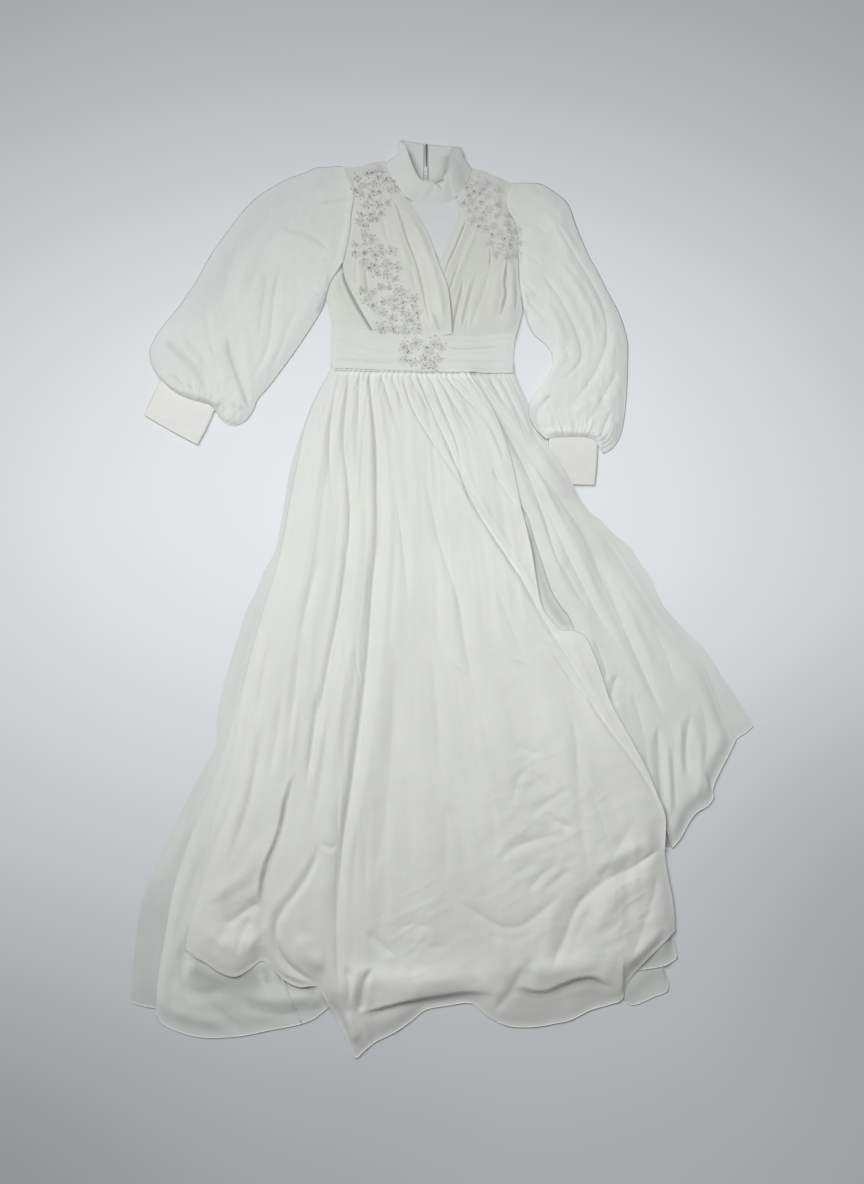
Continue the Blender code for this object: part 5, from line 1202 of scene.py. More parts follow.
# painted shade where the cloth turns in on itself or goes under the layer above, painted light where the amount is
# negative: amount, right mm, left mm
INSET_PAINTED_SHADE = [
    ([(402, 194), (411, 208), (420, 221), (428, 236), (433, 249), (437, 262), (441, 272)], 0.26, 1.4, 1.6, 0.1, 0.0),
    ([(434, 250), (436, 256), (437, 262)], 0.38, 2.0, 2.0, 0.2, 0.2),
]
WRAP_R_PAINTED_SHADE = [
    ([(488, 185), (500, 212), (512, 245)], -0.045, 20, 20, 0.1, 0.1),
    ([(437, 262), (442, 273), (448, 288), (451, 306), (453, 331)], 0.40, 1.6, 1.2, 0.1, 0.0),
    ([(466, 220), (458, 240), (451, 257), (443, 277)], 0.14, 1.3, 1.3, 0.2, 0.1),
    ([(456, 269), (453, 279), (449, 291)], 0.18, 1.3, 1.3, 0.2, 0.2),
    ([(463, 283), (460, 296), (456, 312), (453, 328)], 0.30, 1.4, 1.3, 0.2, 0.1),
    ([(506, 264), (507, 280), (506, 296), (503, 310)], 0.26, 1.4, 1.6, 0.15, 0.15),
    ([(517, 285), (518, 298), (518, 310)], 0.22, 1.3, 1.3, 0.2, 0.2),
    ([(490, 250), (491, 258), (490, 266)], 0.14, 1.6, 1.6, 0.3, 0.3),
]
WRAP_L_PAINTED_SHADE = [
    ([(368, 172), (370, 195), (370, 222)], -0.035, 20, 20, 0.1, 0.1),
    ([(394, 200), (401, 218), (408, 240), (416, 263), (423, 290), (427, 310)], 0.24, 1.3, 1.2, 0.1, 0.2),
    ([(434, 313), (437, 322), (440, 331)], 0.24, 1.3, 1.3, 0.2, 0.1),
    ([(345, 276), (349, 288), (355, 300), (363, 315)], 0.20, 1.2, 0.8, 0.2, 0.2),
]
# painted shade in the ruched band's folds
BAND_PAINTED_SHADE = [
    ([(447, 346.5), (462, 347.5), (480, 346.5), (501, 344.5)], 0.20, 1.0, 1.3, 0.15, 0.2),
    ([(336, 340), (352, 343), (376, 349), (398, 353)], 0.05, 1.5, 1.5, 0.1, 0.25),
    ([(336, 356), (352, 358), (376, 362), (402, 364)], 0.06, 1.5, 1.5, 0.1, 0.25),
    ([(450, 359), (470, 360), (492, 360), (510, 359)], 0.06, 1.4, 1.4, 0.1, 0.25),
    ([(446, 367), (470, 369), (492, 369), (512, 368)], 0.08, 1.4, 1.4, 0.2, 0.1),
]
SIDE_L_OUT = [(343, 265), (337, 273), (331, 281), (326, 297), (328, 305), (331, 318), (333, 330)]
SIDE_CREASES = [
    ([(338, 275), (344, 290), (352, 306), (362, 322), (370, 334)], -2.6, 7, 6, 0.1, 0.1),
    ([(333, 320), (345, 322), (357, 329)], -1.0, 3, 3, 0.3, 0.3),
]


def flat_back(name, left, right, top, bottom, nv, nu, z0, node_name, seed):
    g = coons(px_line(left, nv), px_line(right, nv), px_line(top, nu), px_line(bottom, nu))
    P = g.reshape(-1, 2)
    z = (z0 + 0.0005 * (fbm(P[:, 0] / 0.05, P[:, 1] / 0.06, seed) * 0.5 + 0.5) + ground_under(P, 1, 1)).reshape(nv, nu)
    ob = sheet_mesh(name, g, z)
    lay_down(P, z.ravel())
    dress(ob, CHIFFON, "chiffon", node_name)
    return ob


def build_bodice():
    out = {}
    out["cloth_back_left"] = flat_back("cloth_back_left", [(346, 171), (355, 196), (352, 225), (346, 262), (334, 282), (330, 300), (334, 334)],
        [(421, 195), (421, 250), (423, 334)], [(346, 171), (372, 166), (388, 166), (398, 190), (421, 195)],
        [(334, 334), (380, 336), (423, 336)], 60, 40, 0.0005, "bodice_back_left", 31)
    out["cloth_back_right"] = flat_back("cloth_back_right", [(431, 195), (430, 250), (428, 334)],
        [(512, 186), (505, 200), (514, 228), (516, 262), (519, 300), (514, 336)], [(431, 195), (458, 192), (470, 176), (490, 177), (512, 186)],
        [(428, 336), (470, 337), (514, 336)], 60, 40, 0.0005, "bodice_back_right", 32)
    out["cloth_band_back_left"] = flat_back("cloth_band_back_left", [(334, 336), (334, 367)], [(423, 337), (424, 370)],
        [(334, 336), (423, 337)], [(334, 367), (424, 370)], 16, 34, 0.0005, "waistband_back_left", 33)
    out["cloth_band_back_right"] = flat_back("cloth_band_back_right", [(428, 337), (428, 370)], [(513, 337), (513, 371)],
        [(428, 337), (513, 337)], [(428, 370), (513, 371)], 16, 34, 0.0005, "waistband_back_right", 34)

    # side panel, sunk beside the wrap's deep fold
    g = coons(px_line(SIDE_L_OUT, 60), px_line([(352, 262), (358, 285), (368, 305), (384, 334)], 60),
              px_line([(343, 265), (352, 262)], 36), px_line([(333, 330), (384, 334)], 36))
    z = cloth_panel("side_left", g, 0.0026, SIDE_CREASES, [], 35, 0.0005, edge=0.008, grain=0.0003, hem_wave=0.0, top=0.3)
    ob = sheet_mesh("cloth_side_left", g, z)
    # painted shade on the side panel beside the wrap's deep fold
    paint_shade(ob, g.reshape(-1, 2), [([(342, 268), (344, 280), (349, 292), (355, 304), (364, 318), (374, 334)], 0.45, 8, 2.6, 0.1, 0.1)])
    lay_down(g.reshape(-1, 2), z.ravel())
    out["cloth_side_left"] = dress(ob, BODICE, "chiffon", "bodice_side_left")
    g = coons(px_line([(505, 303), (507, 318), (508, 336)], 34), px_line([(523, 303), (522, 314), (516, 336)], 34),
              px_line([(505, 303), (523, 303)], 18), px_line([(508, 336), (516, 336)], 18))
    z = cloth_panel("side_right", g, 0.0010, [], [], 40, 0.0004, edge=0.006, grain=0.0002, hem_wave=0.0)
    ob = sheet_mesh("cloth_side_right", g, z)
    lay_down(g.reshape(-1, 2), z.ravel())
    out["cloth_side_right"] = dress(ob, BODICE, "chiffon", "bodice_side_right")

    # plain inset in the neckline
    g = coons(px_line([(396, 186), (402, 200), (412, 222), (424, 250), (436, 276)], 70),
              px_line([(462, 188), (464, 206), (462, 226), (452, 252), (443, 276)], 70),
              px_line([(396, 186), (415, 194), (445, 196), (462, 188)], 60), px_line([(436, 276), (443, 276)], 60))
    z = cloth_panel("inset", g, 0.0020, [], [], 36, 0.0006, edge=0.004, grain=0.0003, hem_wave=0.0)
    ob = sheet_mesh("cloth_inset", g, z, dens=np.zeros(g.shape[:2]))
    paint_shade(ob, g.reshape(-1, 2), INSET_PAINTED_SHADE)
    lay_down(g.reshape(-1, 2), z.ravel())
    out["cloth_inset"] = dress(ob, YOKE, "chiffon", "yoke_inset")

    # right wrap, then the left one over it
    g = coons(px_line(WRAP_R_NECK, 170), px_line(ARM_R, 170), px_line([(473, 169), (486, 173), (500, 179), (513, 184)], 110),
              px_line([(432, 337), (460, 339), (490, 339), (516, 337)], 110))
    z = cloth_panel("wrap_r", g, 0.0042, WRAP_R_CREASES, WRAP_R_RIDGES, 37, 0.0005, edge=0.012, grain=0.0005, hem_wave=0.0,
                    top=0.4, keep=(0.30, 0.0), strength=1.1, tight=0.5)
    ob = sheet_mesh("cloth_wrap_right", g, z)
    paint_shade(ob, g.reshape(-1, 2), WRAP_R_PAINTED_SHADE, 0.035)
    lay_down(g.reshape(-1, 2), z.ravel())
    out["cloth_wrap_right"] = dress(ob, BODICE, "chiffon", "front_wrap_right")
    g = coons(px_line(ARM_L[:-1] + DEEP_L, 190), px_line(WRAP_L_NECK, 190), px_line(SHOULDER_L, 130),
              px_line([(374, 333), (400, 337), (430, 338), (452, 335)], 130))
    z = cloth_panel("wrap_l", g, 0.0046, WRAP_L_CREASES, WRAP_L_RIDGES, 38, 0.0005, edge=0.012, grain=0.0005, hem_wave=0.0,
                    top=0.4, keep=(0.7, 0.45), strength=1.1, tight=0.55)
    ob = sheet_mesh("cloth_wrap_left", g, z)
    paint_shade(ob, g.reshape(-1, 2), WRAP_L_PAINTED_SHADE)
    lay_down(g.reshape(-1, 2), z.ravel())
    out["cloth_wrap_left"] = dress(ob, BODICE, "chiffon", "front_wrap_left")

    # ruched band
    rows = [
        ([(334, 331), (350, 333), (375, 340), (400, 345)], -1.6, 3.2, 3.2, 0.1, 0.2),
        ([(334, 339), (352, 342), (376, 348), (398, 352)], -1.8, 3.2, 3.2, 0.1, 0.25),
        ([(334, 348), (352, 351), (376, 356), (400, 359)], -1.6, 3.0, 3.0, 0.1, 0.25),
        ([(334, 356), (352, 358), (376, 362), (402, 364)], -1.8, 3.0, 3.0, 0.1, 0.25),
        ([(334, 362), (355, 365), (380, 368), (405, 369)], -0.6, 3.2, 3.2, 0.1, 0.25),
        ([(447, 346), (462, 347), (480, 346), (501, 344)], -3.0, 2.6, 3.4, 0.2, 0.25),
        ([(446, 340), (470, 341), (495, 340), (513, 339)], -1.4, 2.8, 2.8, 0.2, 0.1),
        ([(446, 353), (470, 354), (492, 353), (513, 351)], -1.8, 3.0, 3.0, 0.2, 0.1),
        ([(446, 359), (470, 360), (492, 360), (513, 359)], -1.8, 3.0, 3.0, 0.2, 0.1),
        ([(446, 365), (470, 367), (492, 367), (513, 366)], -2.0, 2.8, 2.8, 0.2, 0.1),
        ([(400, 347), (425, 349), (446, 348)], -1.0, 3, 3, 0.2, 0.2),
        ([(402, 358), (425, 359), (446, 358)], -1.0, 3, 3, 0.2, 0.2),
    ]
    left = [(333, 326), (331, 340), (331, 355), (333, 370)]
    right = [(516, 334), (514, 348), (513, 360), (513, 374)]
    g = coons(px_line(left, 70), px_line(right, 70), px_line([(333, 326), (350, 329), (375, 333), (400, 336), (425, 337), (455, 337), (485, 337), (516, 334)], 230),
              px_line([(x, waist_px(x) + 0.8) for x in np.linspace(333, 513, 9)], 230))
    z = cloth_panel("band", g, 0.0016, rows, [], 39, 0.0003, edge=0.008, grain=0.0003, hem_wave=0.0, top=0.7, low=0.1,
                    strength=0.7, reach=1, soft=3.0)
    cb = edge_distance(g)[3]
    low = ground_under(g.reshape(-1, 2), 0, 1.2).reshape(z.shape) + 0.0005
    z = low + (z - low) * (0.25 + 0.75 * smooth(cb / 0.006))
    # fine uneven ruching along the band
    P = g.reshape(-1, 2)
    z += (0.0005 * fbm(P[:, 0] / 0.060, P[:, 1] / 0.0042, 77)).reshape(z.shape)
    gt, zt = turned(g, z, 0.010)
    ob = sheet_mesh("cloth_band_front", gt, zt, split=True)
    paint_shade(ob, gt.reshape(-1, 2), BAND_PAINTED_SHADE)
    lay_down(P, z.ravel())
    out["cloth_band_front"] = dress(ob, BAND, "chiffon", "waistband_front")
    # rolled seam under the band's lower edge
    line = px_line([(x, waist_px(x) - 0.2) for x in np.linspace(334.5, 511.5, 9)], 260, 0.005)[:, :2]
    ob = tube_object("seam_band", [np.column_stack([line, ground_under(line, 1, 2.5) - 0.0004])], 0.0010)
    tint(ob, np.ones(len(ob.data.vertices)))
    dress(ob, BAND, "chiffon")
    return out


# ------------------------------------------------------------------ collar
# going round from the centre front to the viewer's left: rim and base, each as
# photograph pixels and height in mm
COLLAR_HALF_L = [
    ((435, 182), 13.5, (430, 203), 6.5), ((427, 181), 14.0, (420, 203), 6.5), ((420, 179), 14.5, (411, 200), 6.3),
    ((414, 169), 14.5, (403, 195), 6.0), ((410, 159), 14.0, (397, 187), 5.8), ((407, 150), 12.5, (391, 177), 5.4),
    ((404, 144), 10.0, (387, 168), 4.6), ((400, 141.5), 7.0, (385, 163), 3.4), ((403, 141), 3.6, (390, 172), 1.4),
    ((409, 141.8), 2.3, (400, 184), 1.0), ((416, 142.7), 2.0, (410, 190), 1.0), ((424.0, 144), 2.0, (423.6, 194), 1.0),
]
COLLAR_HALF_R = [
    ((435, 182), 13.5, (430, 203), 6.5), ((440, 180), 14.0, (438, 203.5), 6.5), ((445, 175), 15.5, (446, 202.5), 6.3),
    ((449, 167), 16.5, (453, 199), 6.0), ((450, 158), 16.0, (460, 193), 5.8), ((451, 151), 14.0, (466, 184), 5.4),
    ((455, 147.5), 11.5, (471, 175), 4.6), ((461, 148), 8.0, (473, 169), 3.4), ((458, 147.4), 4.0, (467, 177), 1.4),
    ((450, 146.8), 2.6, (456, 187), 1.0), ((440, 145.8), 2.2, (444, 193), 1.0), ((428.6, 144.6), 2.0, (429.4, 194), 1.0),
]


# painted shade on the collar's colour, inside it and under its front rim
COLLAR_PAINTED_SHADE = [
    ([(408, 146), (412, 160), (419, 174), (427, 178)], 0.16, 8, 2, 0.1, 0.1),
    ([(448, 150), (447, 162), (443, 174), (436, 180)], 0.26, 2, 10, 0.1, 0.05),
    ([(430, 176), (437, 178), (443, 175)], 0.22, 5, 5, 0.1, 0.1),
    ([(431, 180), (437, 182), (444, 180)], 0.62, 2.4, 2.4, 0.05, 0.05),
    ([(433, 178), (438, 184), (444, 191)], 0.34, 1.4, 1.6, 0.0, 0.35),
    ([(437, 183), (431, 190), (425, 197)], 0.07, 2.5, 2.5, 0.0, 0.4),
    ([(418, 179), (424, 181), (432, 182)], 0.12, 1.5, 1.5, 0.1, 0.1),
]


def build_collar():
    half = []
    for rows, n in ((COLLAR_HALF_L, 110), (COLLAR_HALF_R, 110)):
        rim = spline([(*at(*r[0], r[1] * 1e-3), r[1] * 1e-3) for r in rows], n)
        base = spline([(*at(*r[2], r[3] * 1e-3), r[3] * 1e-3) for r in rows], n)
        over = np.maximum(ground_under(base[:, :2], 0, 1.0) - 0.0012, 0.0006)
        base[:, 2] = np.where(base[:, 2] > 0.0025, over, np.clip(base[:, 2], 0.0006, over + 0.0001))
        half.append((rim, base))
    rim = np.vstack([half[0][0][::-1], half[1][0][1:]])
    base = np.vstack([half[0][1][::-1], half[1][1][1:]])
    nv = 26
    v = np.linspace(0, 1, nv)[:, None, None]
    n = rim.shape[0]
    pts = rim[None] * (1 - v) + base[None] * v
    # the band bellies outwards between rim and seam on the front
    front = smooth((0.5 * (rim[:, 2] + base[:, 2]) - 0.004) / 0.005)
    pts[..., 2] += 0.0022 * np.sin(np.pi * v[..., 0] ** 0.85) * front[None, :]
    pts[..., 2] += 0.0004 * fbm(pts[..., 0] / 0.02, pts[..., 1] / 0.02, 51)
    # the crease at the right of the rim
    d, t = to_line(pts[..., :2].reshape(-1, 2), px_line([(433, 178), (438, 184), (444, 191)], 12, 0.012))
    d2, t2 = to_line(pts[..., :2].reshape(-1, 2), px_line([(436, 182), (431, 190), (424, 198)], 12, 0.012))
    fold = 0.0032 * np.exp(-(d / 0.0028) ** 2) * smooth((1 - t) / 0.6) + 0.0016 * np.exp(-(d2 / 0.004) ** 2) * smooth((1 - t2) / 0.7)
    pts[..., 2] -= (fold * np.repeat(front[None], nv, 0).ravel()).reshape(nv, n)
    ob = new_object("cloth_collar", pts.reshape(-1, 3), grid_faces(nv, n))
    tint(ob, np.ones(nv * n))
    m = ob.modifiers.new("wall", "SOLIDIFY")
    m.thickness, m.offset = 0.0006, 0.0
    paint_shade(ob, pts[..., :2].reshape(-1, 2), COLLAR_PAINTED_SHADE, 0.0, 0.0125)
    dress(ob, COLLAR, "crepe", "collar")
    rim_path = pts[0] + np.array([0, 0, 0.0003])
    st = tube_object("edge_collar", [rim_path], 0.0006)
    tint(st, np.ones(len(st.data.vertices)))
    dress(st, COLLAR, "crepe")
    return ob


# ------------------------------------------------------------------ sleeves
SLEEVE_L_OUT = [(345, 169), (340, 166.5), (330, 167), (316, 168), (305, 173), (290, 178), (275, 186), (260, 195), (247, 207), (236, 220),
                (225, 235), (214, 250), (205, 265), (197, 280), (187, 295), (178, 308), (168, 320), (158, 333), (153, 342),
                (150, 350), (150, 358), (152, 367), (157, 375), (162, 381)]
SLEEVE_L_IN = [(343, 265), (335, 276), (330, 284), (326, 298), (322, 310), (315, 322), (300, 345), (285, 366), (270, 386),
               (258, 400), (254, 410), (246, 421), (236, 426)]
SLEEVE_L_CUFF = [(162, 381), (170, 389), (180, 396), (190, 400), (200, 403), (210, 406), (216, 412), (221, 420), (228, 425), (236, 426)]
SLEEVE_R_OUT = [(513, 184), (519, 183), (525, 183), (540, 184), (550, 189), (560, 196), (568, 204), (576, 225), (582, 240), (590, 258), (598, 272),
                (606, 288), (614, 303), (620, 315), (625, 330), (628, 345), (628, 360), (627, 390), (624, 420), (620, 437), (612, 449), (603, 454)]
SLEEVE_R_IN = [(523, 308), (527, 322), (533, 334), (548, 348), (553, 360), (548, 375), (538, 390), (530, 403), (528, 411), (530, 422), (537, 432), (545, 440)]
SLEEVE_R_CUFF = [(603, 454), (599, 448), (596, 443), (586, 439), (570, 439), (556, 440), (545, 442)]
SLEEVE_L_ROWS = [
    ([(163, 338), (173, 348), (186, 361), (197, 373), (203, 382), (204, 393)], -5.0, 11, 10, 0.2, 0.15),
    ([(227, 333), (229, 350), (234, 366), (239, 380), (244, 393), (249, 407)], -6.5, 9, 7, 0.2, 0.10),
    ([(262, 262), (265, 278), (264, 295), (261, 318), (258, 342)], -2.6, 8, 8, 0.3, 0.35),
    ([(283, 260), (277, 282), (273, 305), (270, 340), (262, 362), (253, 382)], -4.2, 9, 8, 0.25, 0.25),
    ([(278, 227), (294, 231), (311, 236), (331, 250)], -3.2, 8, 8, 0.3, 0.2),
    ([(318, 203), (334, 200), (351, 197)], -3.4, 6, 6, 0.35, 0.08),
    ([(300, 190), (318, 186), (345, 185)], -2.0, 7, 7, 0.35, 0.1),
    ([(325, 215), (338, 214), (350, 216)], -2.4, 5, 5, 0.35, 0.08),
    ([(310, 262), (325, 262), (341, 262)], -3.0, 7, 6, 0.35, 0.1),
    ([(305, 285), (315, 290), (324, 300)], -2.4, 7, 6, 0.3, 0.2),
    ([(183, 330), (193, 345), (207, 362), (215, 378)], -2.6, 9, 8, 0.3, 0.25),
    ([(205, 300), (208, 325), (213, 350), (219, 375), (222, 398)], -3.0, 9, 8, 0.3, 0.15),
    ([(170, 365), (178, 376), (186, 388)], -2.4, 6, 6, 0.3, 0.1),
    ([(188, 378), (193, 388), (197, 398)], -2.4, 5, 5, 0.3, 0.05),
    ([(225, 396), (226, 408), (224, 420)], -2.8, 5, 5, 0.3, 0.1),
    ([(213, 388), (213, 400)], -2.4, 4, 4, 0.3, 0.1),
    ([(235, 400), (236, 412), (236, 422)], -2.6, 5, 5, 0.3, 0.1),
    ([(240, 240), (232, 265), (225, 290), (220, 312)], -2.4, 11, 11, 0.3, 0.3),
    ([(300, 300), (290, 325), (280, 350), (268, 375)], -2.4, 8, 8, 0.3, 0.3),
]
SLEEVE_L_UP = [
    ([(205, 345), (218, 365), (226, 388)], 3.0, 9, 9, 0.3, 0.2),
    ([(245, 330), (247, 360), (252, 385)], 3.2, 9, 9, 0.3, 0.25),
    ([(176, 335), (190, 355), (204, 372)], 2.4, 8, 8, 0.3, 0.25),
    ([(290, 210), (262, 240), (245, 275), (238, 310)], 2.6, 14, 14, 0.3, 0.3),
    ([(230, 408), (243, 410)], 2.4, 7, 7, 0.3, 0.3),
]
# painted shade on the left sleeve's colour, in its folds and where it meets the bodice and cuff
SLEEVE_L_PAINTED_SHADE = [
    ([(163, 338), (173, 348), (186, 361), (197, 373), (203, 382), (204, 393)], 0.12, 4, 5, 0.15, 0.1),
    ([(227, 333), (229, 350), (234, 366), (239, 380), (244, 393), (249, 407)], 0.16, 3, 3.5, 0.2, 0.05),
    ([(278, 227), (294, 231), (311, 236), (331, 250)], 0.08, 3, 4, 0.25, 0.2),
    ([(262, 262), (265, 278), (264, 295), (261, 318), (258, 342)], 0.06, 4, 4, 0.3, 0.3),
    ([(318, 203), (334, 200), (351, 197)], 0.08, 3, 3, 0.3, 0.0),
    ([(196, 399), (206, 402), (217, 406), (222, 404)], 0.16, 3, 4, 0.1, 0.1),
    ([(228, 404), (240, 408), (250, 405)], 0.10, 4, 4, 0.2, 0.1),
    ([(326, 288), (323, 300), (316, 314)], 0.22, 3, 5, 0.2, 0.2),
    ([(300, 185), (272, 205), (245, 235), (222, 268), (200, 300), (175, 330)], 0.035, 24, 24, 0.1, 0.2),
]
# painted shade on the right sleeve's colour, in its folds and at the underarm
SLEEVE_R_PAINTED_SHADE = [
    ([(522, 305), (526, 318), (532, 333)], 0.42, 2.5, 3.0, 0.1, 0.1),
    ([(560, 300), (569, 316), (575, 328), (579, 340), (581, 352), (580, 361), (572, 371), (562, 381)], 0.11, 2.5, 3, 0.2, 0.2),
    ([(590, 285), (602, 303), (606, 320), (607, 336), (605, 350), (600, 363)], 0.07, 3, 3, 0.3, 0.3),
    ([(553, 394), (545, 401), (538, 408), (536, 418), (539, 430), (543, 439)], 0.14, 2.5, 3, 0.1, 0.05),
    ([(529, 403), (531, 416), (536, 430), (541, 440)], 0.14, 4, 3, 0.1, 0.05),
    ([(524, 298), (530, 294), (536, 300)], 0.10, 3, 3, 0.2, 0.3),
]
SLEEVE_R_ROWS = [
    ([(554, 220), (562, 233), (570, 246), (578, 259), (586, 272), (595, 287), (602, 303), (606, 320), (607, 336), (605, 350), (600, 363), (594, 375), (587, 386), (578, 397), (568, 409)], -6.0, 9, 8, 0.12, 0.15),
    ([(540, 270), (548, 281), (556, 292), (563, 303), (569, 316), (575, 328), (579, 340), (581, 352), (580, 361), (572, 371), (562, 381)], -5.0, 8, 7, 0.15, 0.2),
    ([(562, 338), (566, 348), (570, 360)], -3.4, 6, 6, 0.3, 0.25),
    ([(618, 368), (612, 382), (604, 396), (594, 412), (585, 428)], -4.6, 8, 8, 0.2, 0.12),
    ([(553, 394), (545, 401), (538, 408), (536, 418), (539, 430), (543, 439)], -5.0, 6, 6, 0.15, 0.1),
    ([(552, 419), (554, 426), (557, 434)], -3.0, 4, 4, 0.3, 0.05),
    ([(563, 423), (564, 430), (566, 437)], -3.0, 4, 4, 0.3, 0.05),
    ([(575, 418), (576, 427), (578, 436)], -2.6, 4, 4, 0.3, 0.05),
    ([(582, 428), (590, 432), (598, 434)], -3.4, 4, 4, 0.3, 0.1),
    ([(613, 408), (609, 417), (604, 427), (600, 440)], -4.0, 5, 5, 0.3, 0.1),
    ([(520, 220), (535, 224), (548, 232)], -2.8, 6, 6, 0.1, 0.35),
    ([(515, 200), (530, 198), (546, 200)], -2.6, 6, 6, 0.1, 0.35),
    ([(520, 250), (532, 256), (542, 266)], -3.0, 6, 6, 0.1, 0.35),
    ([(523, 280), (532, 288), (540, 298)], -3.0, 6, 6, 0.1, 0.3),
    ([(527, 300), (537, 309), (548, 322)], -3.4, 6, 6, 0.1, 0.3),
    ([(560, 205), (573, 235), (588, 265)], -2.2, 8, 8, 0.3, 0.3),
    ([(585, 300), (591, 325), (592, 345)], -2.4, 8, 8, 0.3, 0.3),
    ([(615, 340), (617, 365), (613, 390)], -2.4, 8, 8, 0.3, 0.3),
]
SLEEVE_R_UP = [
    ([(560, 262), (575, 285), (589, 310), (594, 335)], 3.0, 8, 8, 0.25, 0.25),
    ([(545, 300), (558, 325), (565, 350)], 2.6, 8, 8, 0.3, 0.3),
    ([(590, 400), (575, 415)], 2.6, 8, 8, 0.3, 0.3),
    ([(600, 395), (592, 415)], 2.4, 7, 7, 0.3, 0.3),
    ([(545, 210), (560, 232), (574, 255)], 2.0, 10, 10, 0.3, 0.3),
    ([(616, 420), (610, 440)], 2.4, 7, 7, 0.3, 0.3),
]


def build_sleeve(name, out_px, in_px, cap_px, cuff_px, rows, ups, puff, seed, node_name, band=None, firm=0.7, painted_shade=()):
    nv, nu, nb = 210, 110, 22
    g = coons(px_line(out_px, nv), px_line(in_px, nv), px_line(cap_px, nu), px_line(cuff_px, nu))
    P = g.reshape(-1, 2)
    cl, cr, ct, cb = edge_distance(g)
    side = np.minimum(cl, cr)
    dome = smooth(0.5 + 0.5 * np.clip(side / 0.034, 0, 1)) * 2 - 1
    v = np.linspace(0, 1, nv)[:, None]
    body = np.interp(v[:, 0], [0, 0.10, 0.30, 0.60, 0.85, 0.95, 1.0], puff)[:, None] * 1e-3
    ends = smooth(0.5 + 0.5 * np.clip(ct / 0.018, 0, 1)) * 2 - 1
    tip = smooth(0.5 + 0.5 * np.clip(cb / 0.010, 0, 1)) * 2 - 1
    z = body * dome
    z = z.ravel() + firm * creases(P, rows, 1.0, 0.6) * (0.35 + 0.65 * dome.ravel()) + 0.8 * creases(P, ups) * dome.ravel()
    u = np.linspace(0, 1, nu)[None, :] * np.ones((nv, 1))
    z += 0.0009 * fbm(u.ravel() * 7, v.repeat(nu, 1).ravel() * 9, seed)
    z += 0.0005 * fbm(P[:, 0] / 0.012, P[:, 1] / 0.020, seed + 5)
    z += gathers(u.ravel(), ct.ravel(), 16, seed + 11, 0.0010, 0.018)
    z += gathers(u.ravel(), cb.ravel(), 15, seed + 13, 0.0020, 0.022)
    k = 0.0007
    z = k * np.log1p(np.exp(np.clip(z / k, -40, 40)))
    rim = (smooth(0.5 + 0.5 * np.clip(side / 0.006, 0, 1)) * 2 - 1) * ends * tip
    under = ground_under(P, 1, 1.5)
    z = (z * rim.ravel() + 0.0005 + under).reshape(nv, nu)
    cols = np.round(np.linspace(0, 1, nb) * (nu - 1)).astype(int)
    gb = g[:, cols]
    ub = np.linspace(0, 1, nb)[None, :]
    zb = under.reshape(nv, nu)[:, cols] + 0.0003
    zb = np.where((ub > 0.001) & (ub < 0.999), np.minimum(zb, z[:, cols] - 0.0001), z[:, cols])
    dens = np.ones((nv, nu))
    if band is not None:
        s, t = to_line(P, px_line(band, 60, 0.01))
        dens = (0.30 + 0.70 * smooth(s / 0.010 * 0.5 + 0.5)).reshape(nv, nu)
    tuck = np.maximum(z[-1:] - 0.0030, 0.0006)
    ob = ring_mesh(name, np.concatenate([g, g[-1:]]), np.concatenate([z, tuck]), np.concatenate([gb, gb[-1:]]),
                   np.concatenate([zb, tuck[:, cols] - 0.0001 * ((ub > 0.001) & (ub < 0.999))]), np.concatenate([dens, dens[-1:]]))
    if painted_shade:
        paint_shade(ob, np.array([v.co[:2] for v in ob.data.vertices]), painted_shade)
    lay_down(P, z.ravel())
    dress(ob, SLEEVE, "sleeve", node_name)
    seam = np.column_stack([g[0], z[0] + 0.0001])
    st = tube_object("seam_" + name, [seam], 0.0005)
    tint(st, np.ones(len(st.data.vertices)))
    dress(st, THREAD, "sleeve")
    return ob


